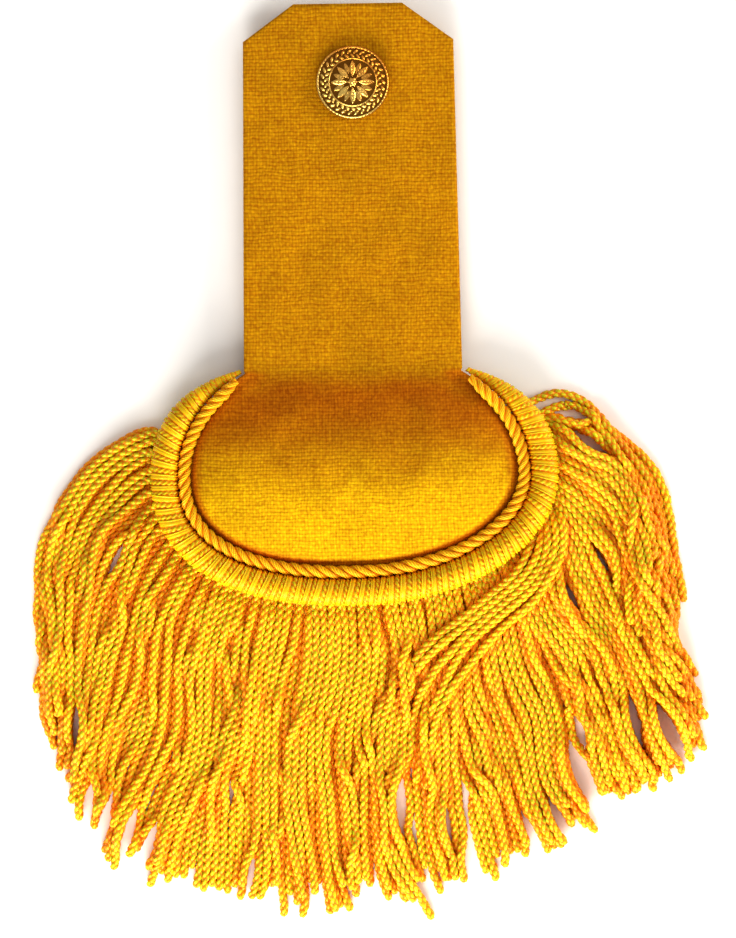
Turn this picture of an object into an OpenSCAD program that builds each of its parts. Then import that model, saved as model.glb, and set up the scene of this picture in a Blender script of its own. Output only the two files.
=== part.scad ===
// Fringed epaulette lying face up: a cloth-covered strap that runs into a padded field, a twisted cord
// and a wound roll around the field, a fringe of twisted cords hanging from the roll, and a button.
// Millimetres. +Y points to the neck end of the strap, -Y to the fringe and +Z up.

/* [Strap] */
// Length from the neck end to the lower edge of the padded field
strap_len = 160; // [140:1:180]
// Width of the strap at its neck end
strap_w = 60; // [54:0.5:64]
// Width of the strap where it meets the roll
strap_w_low = 62.3; // [58:0.1:63]
// Width of the straight neck edge between the two cut corners
neck_w = 31; // [24:0.5:40]
// Length of each cut corner along the strap
corner_len = 10.6; // [6:0.2:16]
// Thickness of the cloth-covered board
board_t = 3.2; // [2.6:0.1:4]
// Clear height under the board, which the fringe's heading and the post fill
board_lift = 4; // [3.8:0.1:4.4]

/* [Padded field] */
// Half width of the field, measured to the line between cord and roll
field_half_w = 50.1; // [48:0.1:54]
// Length of the field below its widest line, measured to the same line
field_low = 29.4; // [26:0.1:33]
// Length of the upper half oval, whose ends reach the strap
field_up = 37.9; // [36:0.1:40]
// Fullness of the lower left corner, where 2 is a plain ellipse
fullness_left = 2.4; // [2:0.05:2.6]
// Fullness of the lower right corner
fullness_right = 2; // [2:0.05:2.6]
// Height of the padding's crest above the board
crest_h = 7.2; // [3:0.1:9]

/* [Cord and roll] */
// Diameter of the twisted cord
cord_d = 3.7; // [3:0.1:4]
// Length of one full turn of the cord's twist
cord_lay = 9; // [7:0.5:14]
// Diameter of the wound roll
roll_d = 8.3; // [7.5:0.1:8.6]
// Spacing of the roll's wraps
wrap_pitch = 2.9; // [2.4:0.1:4]
// Depth of the groove between two wraps
wrap_groove = 0.45; // [0.1:0.05:0.8]
// Length over which each end of the roll thins out
roll_taper = 30; // [18:1:34]

/* [Fringe] */
// Length of the fringe from the lower edge of the field to the longest tip
fringe_len = 99.6; // [80:1:110]
// Number of locks fused to the heading
lock_n = 44; // [24:1:48]
// Height of the heading, the sewn band under the roll
heading_h = 3.3; // [2.8:0.1:3.4]

/* [Button] */
// Diameter of the button
button_d = 20.8; // [18:0.2:24]
// Distance from the neck end to the middle of the button
button_in = 22.8; // [18:0.2:30]
// Radius of the post under the board
post_r = 1.5; // [1.2:0.1:1.8]

/* [Hidden] */
gap = 0.3;
// The middle of the whole outline lies on the origin, and the fringe reaches further to the right
axis_x = -2.48;
neck_y = (strap_len + fringe_len) / 2;
field_edge_y = neck_y - strap_len;
field_mid_y = field_edge_y - cord_d + field_low;
board_top = board_lift + board_t;

// Field outline: a line between cord and roll, given by an angle that runs from the strap's left edge
// through the bottom at 270 to the strap's right edge
strap_side_deg = acos(strap_w_low / 2 / field_half_w);
field_from = 180 - strap_side_deg;
field_to = 360 + strap_side_deg;
field_steps = 280;
function fullness(t) = sin(t) >= 0 ? 2 : cos(t) < 0 ? fullness_left : fullness_right;
function drop_len(t) = sin(t) >= 0 ? field_up : field_low;
function bent(c, n) = sign(c) * pow(abs(c), 2 / n);
function outline(t) = [
    field_half_w * bent(cos(t), fullness(t)),
    field_mid_y + drop_len(t) * bent(sin(t), fullness(t))
];
// Outward direction of the outline, from the oval's own slope
function slope(v, n) = sign(v) * pow(abs(v), n - 1);
function outward(t) = let (
    n = fullness(t),
    p = outline(t) - [0, field_mid_y],
    g = [slope(p.x / field_half_w, n) / field_half_w, slope(p.y / drop_len(t), n) / drop_len(t)]
) g / norm(g);
function field_point(t, out) = outline(t) + out * outward(t);

// Angle for a length along the outline
outline_points = [for (i = [0:field_steps]) outline(field_from + (field_to - field_from) * i / field_steps)];
angle_at = [
    for (i = 0, run = 0; i <= field_steps;
        i = i + 1,
        run = run + norm(outline_points[min(i, field_steps)] - outline_points[i - 1]))
    [run, field_from + (field_to - field_from) * i / field_steps]
];
outline_len = angle_at[field_steps][0];
function angle_of(run) = lookup(run, angle_at);

function ease(x) = let (u = min(1, max(0, x))) u * u * (3 - 2 * u);
function mix(a, b, share) = a + (b - a) * share;

// Two triangles for each four-sided patch, because the patches are not flat
function patch(a, b, c, d) = [[a, b, c], [a, c, d]];
function joined(lists) = [for (l = lists) for (x = l) x];

// A tube of rings with a flat cap at each end
module tube(rings) {
    sides = len(rings[0]);
    last = len(rings) - 1;
    polyhedron(
        points = joined(rings),
        faces = concat(
            [[for (k = [0:sides - 1]) k]],
            [[for (k = [sides - 1:-1:0]) last * sides + k]],
            joined([
                for (i = [0:last - 1]) for (k = [0:sides - 1])
                patch(i * sides + k, (i + 1) * sides + k,
                    (i + 1) * sides + (k + 1) % sides, i * sides + (k + 1) % sides)
            ])
        )
    );
}

// A ring of points round the outline, at a run along it, an offset out from it and a height
function ring(run, out, z, radii, turn) = let (
    t = angle_of(run),
    o = outward(t),
    c = field_point(t, out),
    n = len(radii)
) [
    for (k = [0:n - 1]) let (a = turn + 360 * k / n)
    [axis_x + c.x + o.x * radii[k] * cos(a), c.y + o.y * radii[k] * cos(a), z + radii[k] * sin(a)]
];

// Strap and padded field: rows of points from the left edge over the spine to the right edge. A row
// starts on the outline and ends on the spine, and the field's rows fan out from the spine.
rim_w = cord_d + gap;
board_in = 0.6;
field_top_y = field_point(field_from, -board_in).y;
strap_run = neck_y - field_top_y;
// Rounded upper edge: distance in from the edge, and drop below the full surface
edge_table = [[0, 0.9], [0.3, 0.3], [0.95, 0]];
// Rows of the strap, by their distance from the neck end
strap_rows = concat(
    [for (e = edge_table) e[0]],
    [corner_len],
    [for (share = [0.3, 0.55, 0.8, 0.92]) share * strap_run]
);
function strap_half_w(d) = d < corner_len ? mix(neck_w, strap_w, d / corner_len) / 2
    : mix(strap_w, strap_w_low, (d - corner_len) / (strap_run - corner_len)) / 2;
spine_top = 20;
spine_low = -6;
field_rows_n = 24;
function side_points(side) = concat(
    [for (d = strap_rows) [side * strap_half_w(d), neck_y - d]],
    [
        for (i = [0:field_rows_n]) let (
            t = side < 0 ? mix(field_from, 270, i / field_rows_n) : mix(field_to, 270, i / field_rows_n)
        ) field_point(t, -board_in)
    ]
);
left_side = side_points(-1);
right_side = side_points(1);
rows_n = len(left_side);
strap_rows_n = len(strap_rows);
function spine_y(i) = i < strap_rows_n ? left_side[i].y
    : mix(spine_top, spine_low, ease((i - strap_rows_n) / field_rows_n));

// Columns of a row: distance from the outline and drop below the full surface, then shares of the way
// from the rim to the spine
edge_columns = concat([[0, board_t]], edge_table, [[rim_w, 0]]);
inner_shares = [0.1, 0.26, 0.52, 1];
columns_n = len(edge_columns) + len(inner_shares);
// The padding starts at this height along the strap, is full after its slope, and falls off round the
// rim over its shoulder, more steeply the nearer it comes to the rim
padding_y = 27;
padding_slope = 25;
shoulder_w = 26;
shoulder_power = 2.1;
function padding(p, inside) = crest_h
    * ease((padding_y - p.y) / padding_slope)
    * (1 - pow(1 - min(1, max(0, (inside - rim_w) / shoulder_w)), shoulder_power));
function neck_drop(y) = lookup(neck_y - y, edge_table);
function row_point(from, to, k) = let (
    full = norm(to - from),
    inside = k < len(edge_columns) ? edge_columns[k][0]
        : mix(rim_w, full, inner_shares[k - len(edge_columns)]),
    p = from + (to - from) * inside / full,
    drop = k == 0 ? board_t : max(neck_drop(p.y), k < len(edge_columns) ? edge_columns[k][1] : 0)
) [axis_x + p.x, p.y, board_top - drop + padding(p, inside)];
function row_index(i, c) = i < rows_n - 1 ? i * (2 * columns_n - 1) + c
    : i * (2 * columns_n - 1) + min(c, 2 * columns_n - 2 - c);
strap_points = concat(
    joined([
        for (i = [0:rows_n - 2]) let (spine = [0, spine_y(i)]) concat(
            [for (k = [0:columns_n - 1]) row_point(left_side[i], spine, k)],
            [for (k = [columns_n - 2:-1:0]) row_point(right_side[i], spine, k)]
        )
    ]),
    [for (k = [0:columns_n - 1]) row_point(left_side[rows_n - 1], [0, spine_y(rows_n - 1)], k)]
);
row_len = 2 * columns_n - 1;
strap_faces = concat(
    [[for (c = [0:row_len - 1]) c]],
    joined([
        for (i = [0:rows_n - 2]) for (c = [0:row_len - 2])
        patch(row_index(i, c), row_index(i + 1, c), row_index(i + 1, c + 1), row_index(i, c + 1))
    ]),
    joined([
        for (i = [0:rows_n - 3])
        patch(row_index(i, row_len - 1), row_index(i + 1, row_len - 1), row_index(i + 1, 0), row_index(i, 0))
    ]),
    [[row_index(rows_n - 2, row_len - 1), row_index(rows_n - 1, 0), row_index(rows_n - 2, 0)]]
);
// The button sits a little to the right of the strap's middle line
button_right = 1.1;
button_at = [axis_x + button_right, neck_y - button_in];
shank_r = 2;

module strap() {
    color([0.80, 0.55, 0.06])
    difference() {
        polyhedron(points = strap_points, faces = strap_faces);
        translate([button_at.x, button_at.y, 0]) cylinder(r = shank_r + gap, h = 2 * board_top, $fn = 48);
    }
}

// Twisted cord on the rim of the field: three plies with a hollow between each two, thin at its ends
ply_rings = 6;
groove_share = 0.76;
cord_z = board_top + gap;
cord_in = 0.2;
module edge_cord() {
    end_in = 3;
    end_taper = 9;
    end_share = 0.45;
    step = cord_lay / ply_rings;
    rings_n = floor((outline_len - 2 * end_in) / step);
    color([0.94, 0.72, 0.10])
    tube([
        for (i = [0:rings_n]) let (
            run = end_in + (outline_len - 2 * end_in) * i / rings_n,
            r = mix(end_share, 1, ease(min(run, outline_len - run) / end_taper)) * cord_d / 2
        ) ring(run, -cord_d / 2 - cord_in, cord_z + r, [for (k = [0:5]) k % 2 == 0 ? r : groove_share * r],
            -360 * i / ply_rings)
    ]);
}

// Wound roll around the field: two rings for each wrap, and thin ends tucked low against the strap
module wound_roll() {
    sides = 10;
    end_in = 1;
    end_r = 0.5;
    end_sink = 0.6;
    taper_power = 1.15;
    roll_in = 0.1;
    roll_z = heading_h + gap + roll_d / 2;
    wraps_n = floor(outline_len / wrap_pitch);
    color([0.95, 0.74, 0.12])
    tube([
        for (i = [0:2 * wraps_n]) let (
            run = end_in + (outline_len - 2 * end_in) * i / (2 * wraps_n),
            full = pow(sin(90 * min(1, min(run, outline_len - run) / roll_taper)), taper_power),
            r = mix(end_r, roll_d / 2, full),
            groove = i % 2 == 0 ? wrap_groove * full : 0,
            z = roll_z - end_sink * (roll_d / 2 - r)
        ) ring(run, r - roll_in, z, [for (k = [1:sides]) r - groove], 180 / sides)
    ]);
}

// Fringe: locks fused along a heading under the roll. The table gives how the cords run at some places
// along the outline: share of the outline, direction at the roll, side reach of the tip, share of the
// fringe's length below the field, and direction at the tip.
RUN = 0;
LEAD = 1;
TIP_X = 2;
TIP_DROP = 3;
TIP_DIR = 4;
fall_table = [
    [0.12, 199, -91, 0.34, 281],
    [0.165, 208, -87, 0.51, 275],
    [0.21, 221, -84.5, 0.68, 269],
    [0.28, 243, -71, 0.83, 258],
    [0.36, 258, -46, 0.93, 259],
    [0.48, 269, -4, 1.00, 271],
    [0.58, 277, 27, 0.94, 276],
    [0.67, 290, 56, 0.86, 283],
    [0.73, 304, 77, 0.70, 289],
    [0.79, 320, 96, 0.53, 294],
    [0.83, 333, 99.5, 0.44, 288],
    [0.895, 344, 94.5, 0.27, 271]
];
function fall(share, column) = lookup(share, [for (r = fall_table) [r[RUN], r[column]]]);
function direction(deg) = [cos(deg), sin(deg)];
free_out = 9.5;
// How far a cord keeps the direction of each end, as a share of its length
keep = 0.45;
// Point on a cord's path, from where it leaves the roll at 0 to its tip at 1
function fall_point(share, v) = let (
    from = field_point(angle_of(share * outline_len), free_out),
    tip = [fall(share, TIP_X), field_edge_y - fringe_len * fall(share, TIP_DROP)],
    reach = keep * norm(tip - from),
    a = from + reach * direction(fall(share, LEAD)),
    b = tip - reach * direction(fall(share, TIP_DIR))
) pow(1 - v, 3) * from + 3 * pow(1 - v, 2) * v * a + 3 * (1 - v) * v * v * b + pow(v, 3) * tip;

// Rows along a lock: offset from the outline under the roll, or share of the free path past it, then
// height of the lock's back, height of the valley between two locks, and share of the lock's width
OUT = 0;
PATH = 1;
BACK_Z = 2;
VALLEY_Z = 3;
WIDE = 4;
lock_rows = [
    [-gap, 0, heading_h, heading_h, 1],
    [4, 0, heading_h, heading_h - 0.3, 1],
    [7.2, 0, 4.4, 3.2, 1],
    [free_out, 0, 5.5, 3.6, 1],
    [0, 0.12, 5.8, 3.5, 1],
    [0, 0.28, 5.4, 3.1, 1],
    [0, 0.45, 4.9, 2.7, 1],
    [0, 0.62, 4.3, 2.3, 1],
    [0, 0.76, 3.8, 1.9, 1],
    [0, 0.87, 3.3, 1.6, 0.9],
    [0, 0.96, 2.8, 1.3, 0.72],
    [0, 1, 1.9, 0.9, 0.4]
];
split_row = 8;
under_rows = 4;
rows_last = len(lock_rows) - 1;
lock_from = fall_table[0][RUN];
lock_to = fall_table[len(fall_table) - 1][RUN];
// The lock nearest the middle keeps its full length, and the others lose up to half of their free end
middle_share = 0.455;
longest = floor(lock_n * middle_share);
most_lost = 0.5;
length_lost = rands(0, 1, lock_n, 7);
free_len = [for (i = [0:lock_n - 1]) i == longest ? 1 : 1 - most_lost * pow(length_lost[i], 2)];
back_high = rands(0.86, 1.1, lock_n, 11);
back_side = 0.28;
function lock_share(i) = mix(lock_from, lock_to, i / lock_n);
function lock_xy(i, j, side) = let (
    r = lock_rows[j],
    share = lock_share(i + mix(0.5, side, r[WIDE])),
    split_v = lock_rows[split_row][PATH],
    v = j > split_row ? mix(split_v, r[PATH], free_len[i]) : r[PATH]
) j < under_rows ? field_point(angle_of(share * outline_len), r[OUT]) : fall_point(share, v);
function lock_point(i, j, side, z) = let (p = lock_xy(i, j, side)) [axis_x + p.x, p.y, z];
function lock_ring(i, j) = let (
    r = lock_rows[j],
    back = j < under_rows - 1 ? r[BACK_Z] : r[BACK_Z] * back_high[i]
) [
    lock_point(i, j, 0, r[VALLEY_Z]),
    lock_point(i, j, back_side, back),
    lock_point(i, j, 1 - back_side, back),
    lock_point(i, j, 1, r[VALLEY_Z]),
    lock_point(i, j, 1, 0),
    lock_point(i, j, 0, 0)
];
// Up to the split a lock's left edge is its neighbour's right edge
function at(i, j, k) = i > 0 && j <= split_row && (k == 0 || k == 5)
    ? at(i - 1, j, k == 0 ? 3 : 4)
    : (i * (rows_last + 1) + j) * 6 + k;
function strip(i, j, a, b) = patch(at(i, j, a), at(i, j, b), at(i, j + 1, b), at(i, j + 1, a));
function lock_faces(i) = concat(
    joined([for (j = [0:rows_last - 1]) for (k = [[0, 1], [1, 2], [2, 3], [4, 5]]) strip(i, j, k[0], k[1])]),
    joined([for (j = [0:rows_last - 1]) if (i == lock_n - 1 || j >= split_row) strip(i, j, 3, 4)]),
    joined([for (j = [0:rows_last - 1]) if (i == 0 || j >= split_row) strip(i, j, 5, 0)]),
    [for (f = [[5, 4, 2], [5, 2, 1], [5, 1, 0], [4, 3, 2]]) [for (k = f) at(i, 0, k)]],
    [for (f = [[2, 4, 5], [1, 2, 5], [0, 1, 5], [2, 3, 4]]) [for (k = f) at(i, rows_last, k)]]
);
module fringe() {
    color([0.97, 0.78, 0.14])
    polyhedron(
        points = joined([for (i = [0:lock_n - 1]) for (j = [0:rows_last]) lock_ring(i, j)]),
        faces = joined([for (i = [0:lock_n - 1]) lock_faces(i)])
    );
}

// Button: a shallow dome with a raised rim, a ring, a border of studs and a rosette of leaves, on a
// plain post that goes through the board
button_base = board_top + gap;
button_r = button_d / 2;
dome_h = 2.6;
dome_radius = 52;
button_rim_w = 1.1;
button_edge = 0.5;
ring_r = 7.3;
ring_w = 0.6;
leaf_n = 8;
leaf_from = 1.2;
leaf_to = 6.3;
leaf_w = 1.9;
relief = 0.4;
stud_n = 24;
stud_r = 0.45;
centre_r = 1.1;
shank_sunk = 0.4;
steps = 8;
raised_from = button_base + button_edge;
// Height of the dome's surface at a distance from its axis
function dome_at(r) = button_base + dome_h - r * r / (2 * dome_radius);
module dome(r, raised) {
    radii = [for (k = [1:steps]) r * k / steps];
    rotate_extrude($fn = 96)
    polygon(concat([[0, button_base], [0, dome_at(0) + raised]], [for (d = radii) [d, dome_at(d) + raised]],
        [[r, button_base]]));
}
module rim() {
    inner = button_r - button_rim_w;
    top = button_base + dome_h;
    rotate_extrude($fn = 96)
    polygon([[inner, button_base], [button_r - button_edge, button_base], [button_r, raised_from],
        [button_r, top - button_edge], [button_r - button_rim_w / 3, top], [inner + button_rim_w / 3, top],
        [inner, top - button_edge]]);
}
module ring_band() {
    top = dome_at(ring_r) + relief;
    rotate_extrude($fn = 96)
    polygon([[ring_r - ring_w / 2, raised_from], [ring_r + ring_w / 2, raised_from],
        [ring_r + ring_w / 4, top], [ring_r - ring_w / 4, top]]);
}
module studs() {
    border_r = (ring_r + button_r - button_rim_w) / 2;
    top = dome_at(border_r) + relief;
    for (k = [0:stud_n - 1]) rotate(360 * k / stud_n) translate([border_r, 0, raised_from])
        cylinder(r = stud_r, h = top - raised_from, $fn = 24);
}
module leaf_outline() {
    function half_w(u) = leaf_w / 2 * sin(180 * u);
    polygon(concat(
        [for (k = [0:steps]) [mix(leaf_from, leaf_to, k / steps), half_w(k / steps)]],
        [for (k = [steps - 1:-1:1]) [mix(leaf_from, leaf_to, k / steps), -half_w(k / steps)]]
    ));
}
module leaves() {
    intersection() {
        for (k = [0:leaf_n - 1]) rotate(360 * k / leaf_n) translate([0, 0, raised_from])
            linear_extrude(dome_h + relief) leaf_outline();
        dome(ring_r, relief);
    }
}
module button() {
    color([0.78, 0.60, 0.24])
    translate([button_at.x, button_at.y, 0]) {
        cylinder(r = post_r, h = board_lift, $fn = 48);
        translate([0, 0, board_lift - shank_sunk])
            cylinder(r = shank_r, h = raised_from - board_lift + shank_sunk, $fn = 48);
        dome(button_r - button_edge, 0);
        rim();
        ring_band();
        studs();
        leaves();
        cylinder(r = centre_r, h = dome_at(0) + relief, $fn = 48);
    }
}

strap();
edge_cord();
wound_roll();
fringe();
button();
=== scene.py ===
import itertools
import math

import bmesh
import bpy
import numpy as np
from bpy.props import FloatProperty, FloatVectorProperty, IntProperty, PointerProperty
from bpy.types import Operator, Panel, PropertyGroup
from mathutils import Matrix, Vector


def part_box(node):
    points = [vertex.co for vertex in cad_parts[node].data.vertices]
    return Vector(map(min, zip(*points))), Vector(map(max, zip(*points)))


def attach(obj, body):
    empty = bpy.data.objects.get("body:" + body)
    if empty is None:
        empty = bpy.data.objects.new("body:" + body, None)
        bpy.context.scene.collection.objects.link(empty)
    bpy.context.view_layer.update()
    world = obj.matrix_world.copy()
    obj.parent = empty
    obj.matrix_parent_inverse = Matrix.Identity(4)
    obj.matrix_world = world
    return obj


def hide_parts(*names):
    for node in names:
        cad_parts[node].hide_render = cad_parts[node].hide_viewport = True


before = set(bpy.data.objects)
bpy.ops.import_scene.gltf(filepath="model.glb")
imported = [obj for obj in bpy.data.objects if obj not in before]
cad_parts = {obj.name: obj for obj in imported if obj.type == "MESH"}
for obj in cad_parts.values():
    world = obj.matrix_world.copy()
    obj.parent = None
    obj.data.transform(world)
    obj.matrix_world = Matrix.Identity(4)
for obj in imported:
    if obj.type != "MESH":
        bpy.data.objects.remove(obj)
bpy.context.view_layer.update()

bl_info = {
    "name": "Fringed Epaulette",
    "version": (1, 0, 0),
    "blender": (4, 5, 0),
    "location": "3D View > Sidebar > Epaulette",
    "description": "Builds a fringed epaulette: padded strap, twisted cord, wound roll, fringe and button",
    "category": "Add Mesh",
}

# Every length below is in millimetres. Meshes are made in metres.
MM = 0.001


def node_box(node):
    """Lowest and highest corner of a node of the frame, in millimetres."""
    low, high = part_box(node)
    return np.array(low) / MM, np.array(high) / MM


STRAP_LOW, STRAP_HIGH = node_box("strap")
BUTTON_LOW, BUTTON_HIGH = node_box("button")
CORD_UNDER = float(node_box("edge_cord")[0][2])
ROLL_UNDER = float(node_box("wound_roll")[0][2])
BUTTON_MIDDLE = (BUTTON_LOW + BUTTON_HIGH)[:2] / 2
AXIS_X = float(STRAP_LOW[0] + STRAP_HIGH[0]) / 2
NECK_Y = float(STRAP_HIGH[1])
BOARD_UNDER = float(STRAP_LOW[2])
BOARD_THICKNESS = 3.2
CREST = float(STRAP_HIGH[2]) - BOARD_UNDER - BOARD_THICKNESS
# Between two pieces
GAP = 0.3
# From the line between cord and roll in to the board's edge
BOARD_IN = 0.6
# How far red, green and blue light goes inside a thread, as shares
THREAD_GLOW = (1.0, 0.35, 0.04)


def ease(x):
    """A smooth step from 0 to 1."""
    u = np.clip(x, 0, 1)
    return u * u * (3 - 2 * u)


def mix(a, b, share):
    return a + (b - a) * share


def unit(vectors):
    """The same vectors with length 1, along the last axis."""
    return vectors / np.linalg.norm(vectors, axis=-1, keepdims=True)


def signed_power(x, power):
    """A power of the size of x, with the sign of x."""
    return np.sign(x) * np.abs(x) ** power


def size_mm(name, default, description):
    return FloatProperty(name=name, description=f"{description}, in mm", default=default)


def count_of(name, default, description):
    return IntProperty(name=name, description=description, default=default)


def colour_of(name, default, description):
    return FloatVectorProperty(name=name, description=description, subtype="COLOR", default=default)


def lamp_power(name, default):
    return FloatProperty(name=name, description=f"Power of the {name.lower()}, in W", default=default)


class StrapSizes(PropertyGroup):
    length: size_mm("Length", 160, "Neck end to the lower edge of the padded field")
    width: size_mm("Width", 60, "Width at the neck end")
    width_low: size_mm("Lower width", 62.3, "Width at the roll")
    neck_width: size_mm("Neck edge", 31, "Straight edge between the cut corners")
    corner: size_mm("Cut corner", 10.6, "Length of a cut corner")
    thickness: size_mm("Board", BOARD_THICKNESS, "Thickness of the board")
    edge_round: size_mm("Edge", 0.95, "Radius of the soft edge")
    crest: size_mm("Crest", CREST, "Height of the padding above the board")
    colour: colour_of("Cloth", (0.585, 0.31, 0.0040), "Colour of the cloth")
    # Partly painted shade: the deep colour goes in the low gaps of the weave, and also marks the threads' own
    # uneven tone
    colour_deep: colour_of("Cloth between threads", (0.355, 0.132, 0.0018), "Colour in the gaps of the weave")


class FieldSizes(PropertyGroup):
    half_width: size_mm(
        "Half width", float(STRAP_HIGH[0] - STRAP_LOW[0]) / 2 + BOARD_IN, "Half width of the field")
    low: size_mm("Lower half", 29.4, "Length below the widest line")
    up: size_mm("Upper half", 37.9, "Length above the widest line")
    fullness_left: FloatProperty(name="Left fullness", description="2 is a plain ellipse", default=2.4)
    fullness_right: FloatProperty(name="Right fullness", description="2 is a plain ellipse", default=2.0)


class CordSizes(PropertyGroup):
    diameter: size_mm("Diameter", 3.7, "Of the twisted cord")
    lay: size_mm("Lay", 8.7, "One full turn of the twist")
    lay_low: size_mm("Lay at the bottom", 11, "One full turn where the cord is stretched")
    rings: count_of("Rings per lay", 24, "Rings of points in one turn")
    around: count_of("Points per ply", 26, "Points across one ply")
    yarns: count_of("Yarns", 4, "Yarns round one ply")
    colour: colour_of("Cord", (0.84, 0.63, 0.020), "Colour of the cord")
    # Painted shade: this deep orange goes in the grooves between plies and yarns and in the crevice towards
    # the roll
    colour_deep: colour_of("Cord in its grooves", (0.82, 0.32, 0.003), "Colour between two plies")


class RollSizes(PropertyGroup):
    diameter: size_mm("Diameter", 8.3, "Of the wound roll")
    pitch: size_mm("Pitch", 2.9, "Spacing of the wraps")
    taper: size_mm("Taper", 30, "Length of each thin end")
    lean: FloatProperty(
        name="Lean", description="Slant of the wraps", subtype="ANGLE", default=math.radians(11))
    around: count_of("Points around", 72, "Points round the roll")
    colour: colour_of("Gimp", (0.65, 0.625, 0.011), "Colour of the wound thread")
    # Painted shade: this deep orange goes in the grooves between wraps and in the crevice beside the cord
    colour_deep: colour_of("Gimp in its grooves", (0.90, 0.31, 0.002), "Colour between two wraps")


class FringeSizes(PropertyGroup):
    length: size_mm("Length", 99.6, "Lower edge of the field to the longest tip")
    cords: count_of("Cords", 70, "Number of fringe cords in a layer")
    layers: count_of("Layers", 3, "Layers of fringe cords")
    radius: size_mm("Radius", 1.34, "Half width of a fringe cord")
    flat: FloatProperty(name="Flatness", description="Height of a cord over its width", default=0.88)
    stitch: size_mm("Ply step", 2.45, "Spacing of the plies along a cord")
    nodes: count_of("Points per cord", 76, "Points along the path of a cord")
    steps: count_of("Settling steps", 140, "Steps of the settling")
    seed: count_of("Seed", 5, "Start of the random draws")
    colour: colour_of("Fringe", (0.67, 0.655, 0.013), "Colour of the fringe cords")
    # Painted shade: this deep orange goes between plies, on the cords' sides and undersides and under other
    # cords
    colour_deep: colour_of("Fringe in its grooves", (1.0, 0.262, 0.0018), "Colour between two plies")


class ButtonSizes(PropertyGroup):
    diameter: size_mm("Diameter", float(BUTTON_HIGH[0] - BUTTON_LOW[0]), "Of the button")
    colour: colour_of("Brass", (0.88, 0.64, 0.20), "Colour of the raised brass")
    colour_deep: colour_of("Tarnish", (0.20, 0.085, 0.009), "Colour in the recesses")


class StageSizes(PropertyGroup):
    distance: FloatProperty(
        name="Camera distance", description="Camera above the face, in m", default=1.0, unit="LENGTH")
    view_height: size_mm("View height", 267.24, "Height of the picture at the face")
    key: lamp_power("Key light", 9.8)
    low: lamp_power("Low light", 8.2)
    side: lamp_power("Side light", 6.6)
    fill: lamp_power("Fill light", 1)
    sky: FloatProperty(name="Sky", description="Strength of the light from all round", default=0.64)


def cord_rim():
    """Distance from the line between cord and roll, across the cord, to the padding."""
    return bpy.context.scene.epaulette_cord.diameter + GAP


# The line between cord and roll

class FieldOutline:
    """A superellipse that is open at the strap, reached by angle or by length along it."""

    def __init__(self, scene):
        strap = scene.epaulette_strap
        self.field = scene.epaulette_field
        self.edge_y = NECK_Y - strap.length
        self.mid_y = self.edge_y - scene.epaulette_cord.diameter + self.field.low
        side = math.acos(strap.width_low / 2 / self.field.half_width)
        self.start = math.pi - side
        self.end = 2 * math.pi + side
        self.angles = np.linspace(self.start, self.end, 1401)
        steps = np.linalg.norm(np.diff(self.point(self.angles), axis=0), axis=1)
        self.runs = np.concatenate([[0], np.cumsum(steps)])
        self.length = float(self.runs[-1])

    def reach(self, t):
        return np.where(np.sin(t) >= 0, self.field.up, self.field.low)

    def oval(self, t):
        """Place at an angle, as shares of the half width and the reach, and the fullness there."""
        lower = np.where(np.cos(t) < 0, self.field.fullness_left, self.field.fullness_right)
        n = np.where(np.sin(t) >= 0, 2.0, lower)
        return signed_power(np.cos(t), 2 / n), signed_power(np.sin(t), 2 / n), n

    def outward(self, t):
        """Direction away from the field, from the oval's own slope."""
        c, s, n = self.oval(t)
        gx = signed_power(c, n - 1) / self.field.half_width
        gy = signed_power(s, n - 1) / self.reach(t)
        size = np.hypot(gx, gy)
        return np.stack([gx / size, gy / size], -1)

    def point(self, t, out=0.0):
        """Point in the frame at an angle and a distance out from the line."""
        t = np.asarray(t, float)
        c, s, _ = self.oval(t)
        base = np.stack([AXIS_X + self.field.half_width * c, self.mid_y + self.reach(t) * s], -1)
        return base + np.asarray(out)[..., None] * self.outward(t)

    def angle(self, run):
        return np.interp(run, self.runs, self.angles)


# Meshes

def new_piece(name, points, face_lists, material, values=None, uv=None):
    """A smooth mesh object from points in mm and lists of faces with the same number of corners."""
    faces = [np.asarray(f, np.int32) for f in face_lists]
    corners = np.concatenate([f.ravel() for f in faces])
    counts = np.concatenate([np.full(len(f), f.shape[1]) for f in faces])
    starts = np.concatenate([[0], np.cumsum(counts)[:-1]]).astype(np.int32)
    mesh = bpy.data.meshes.new(name)
    mesh.vertices.add(len(points))
    mesh.vertices.foreach_set("co", (np.asarray(points) * MM).astype(np.float32).ravel())
    mesh.loops.add(len(corners))
    mesh.loops.foreach_set("vertex_index", corners)
    mesh.polygons.add(len(starts))
    mesh.polygons.foreach_set("loop_start", starts)
    mesh.polygons.foreach_set("use_smooth", np.ones(len(starts), bool))
    for key, value in (values or {}).items():
        attribute = mesh.attributes.new(key, "FLOAT", "POINT")
        attribute.data.foreach_set("value", np.asarray(value, np.float32).ravel())
    if uv is not None:
        layer = mesh.uv_layers.new(name="threads")
        layer.uv.foreach_set("vector", np.asarray(uv, np.float32).ravel())
    mesh.update(calc_edges=True)
    mesh.validate()
    piece = bpy.data.objects.new(name, mesh)
    bpy.context.scene.collection.objects.link(piece)
    mesh.materials.append(material)
    return piece


def ring_quads(rings, sides):
    """Four corners for each quad between rings that follow each other."""
    i, k = np.meshgrid(np.arange(rings - 1) * sides, np.arange(sides), indexing="ij")
    n = (k + 1) % sides
    return np.stack([i + k, i + sides + k, i + sides + n, i + n], -1).reshape(-1, 4)


def tube_faces(rings, sides, first=0):
    """Quads of a tube, and its two end faces."""
    ends = np.stack([np.arange(sides), (rings - 1) * sides + np.arange(sides)[::-1]])
    return ring_quads(rings, sides) + first, ends + first


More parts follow.
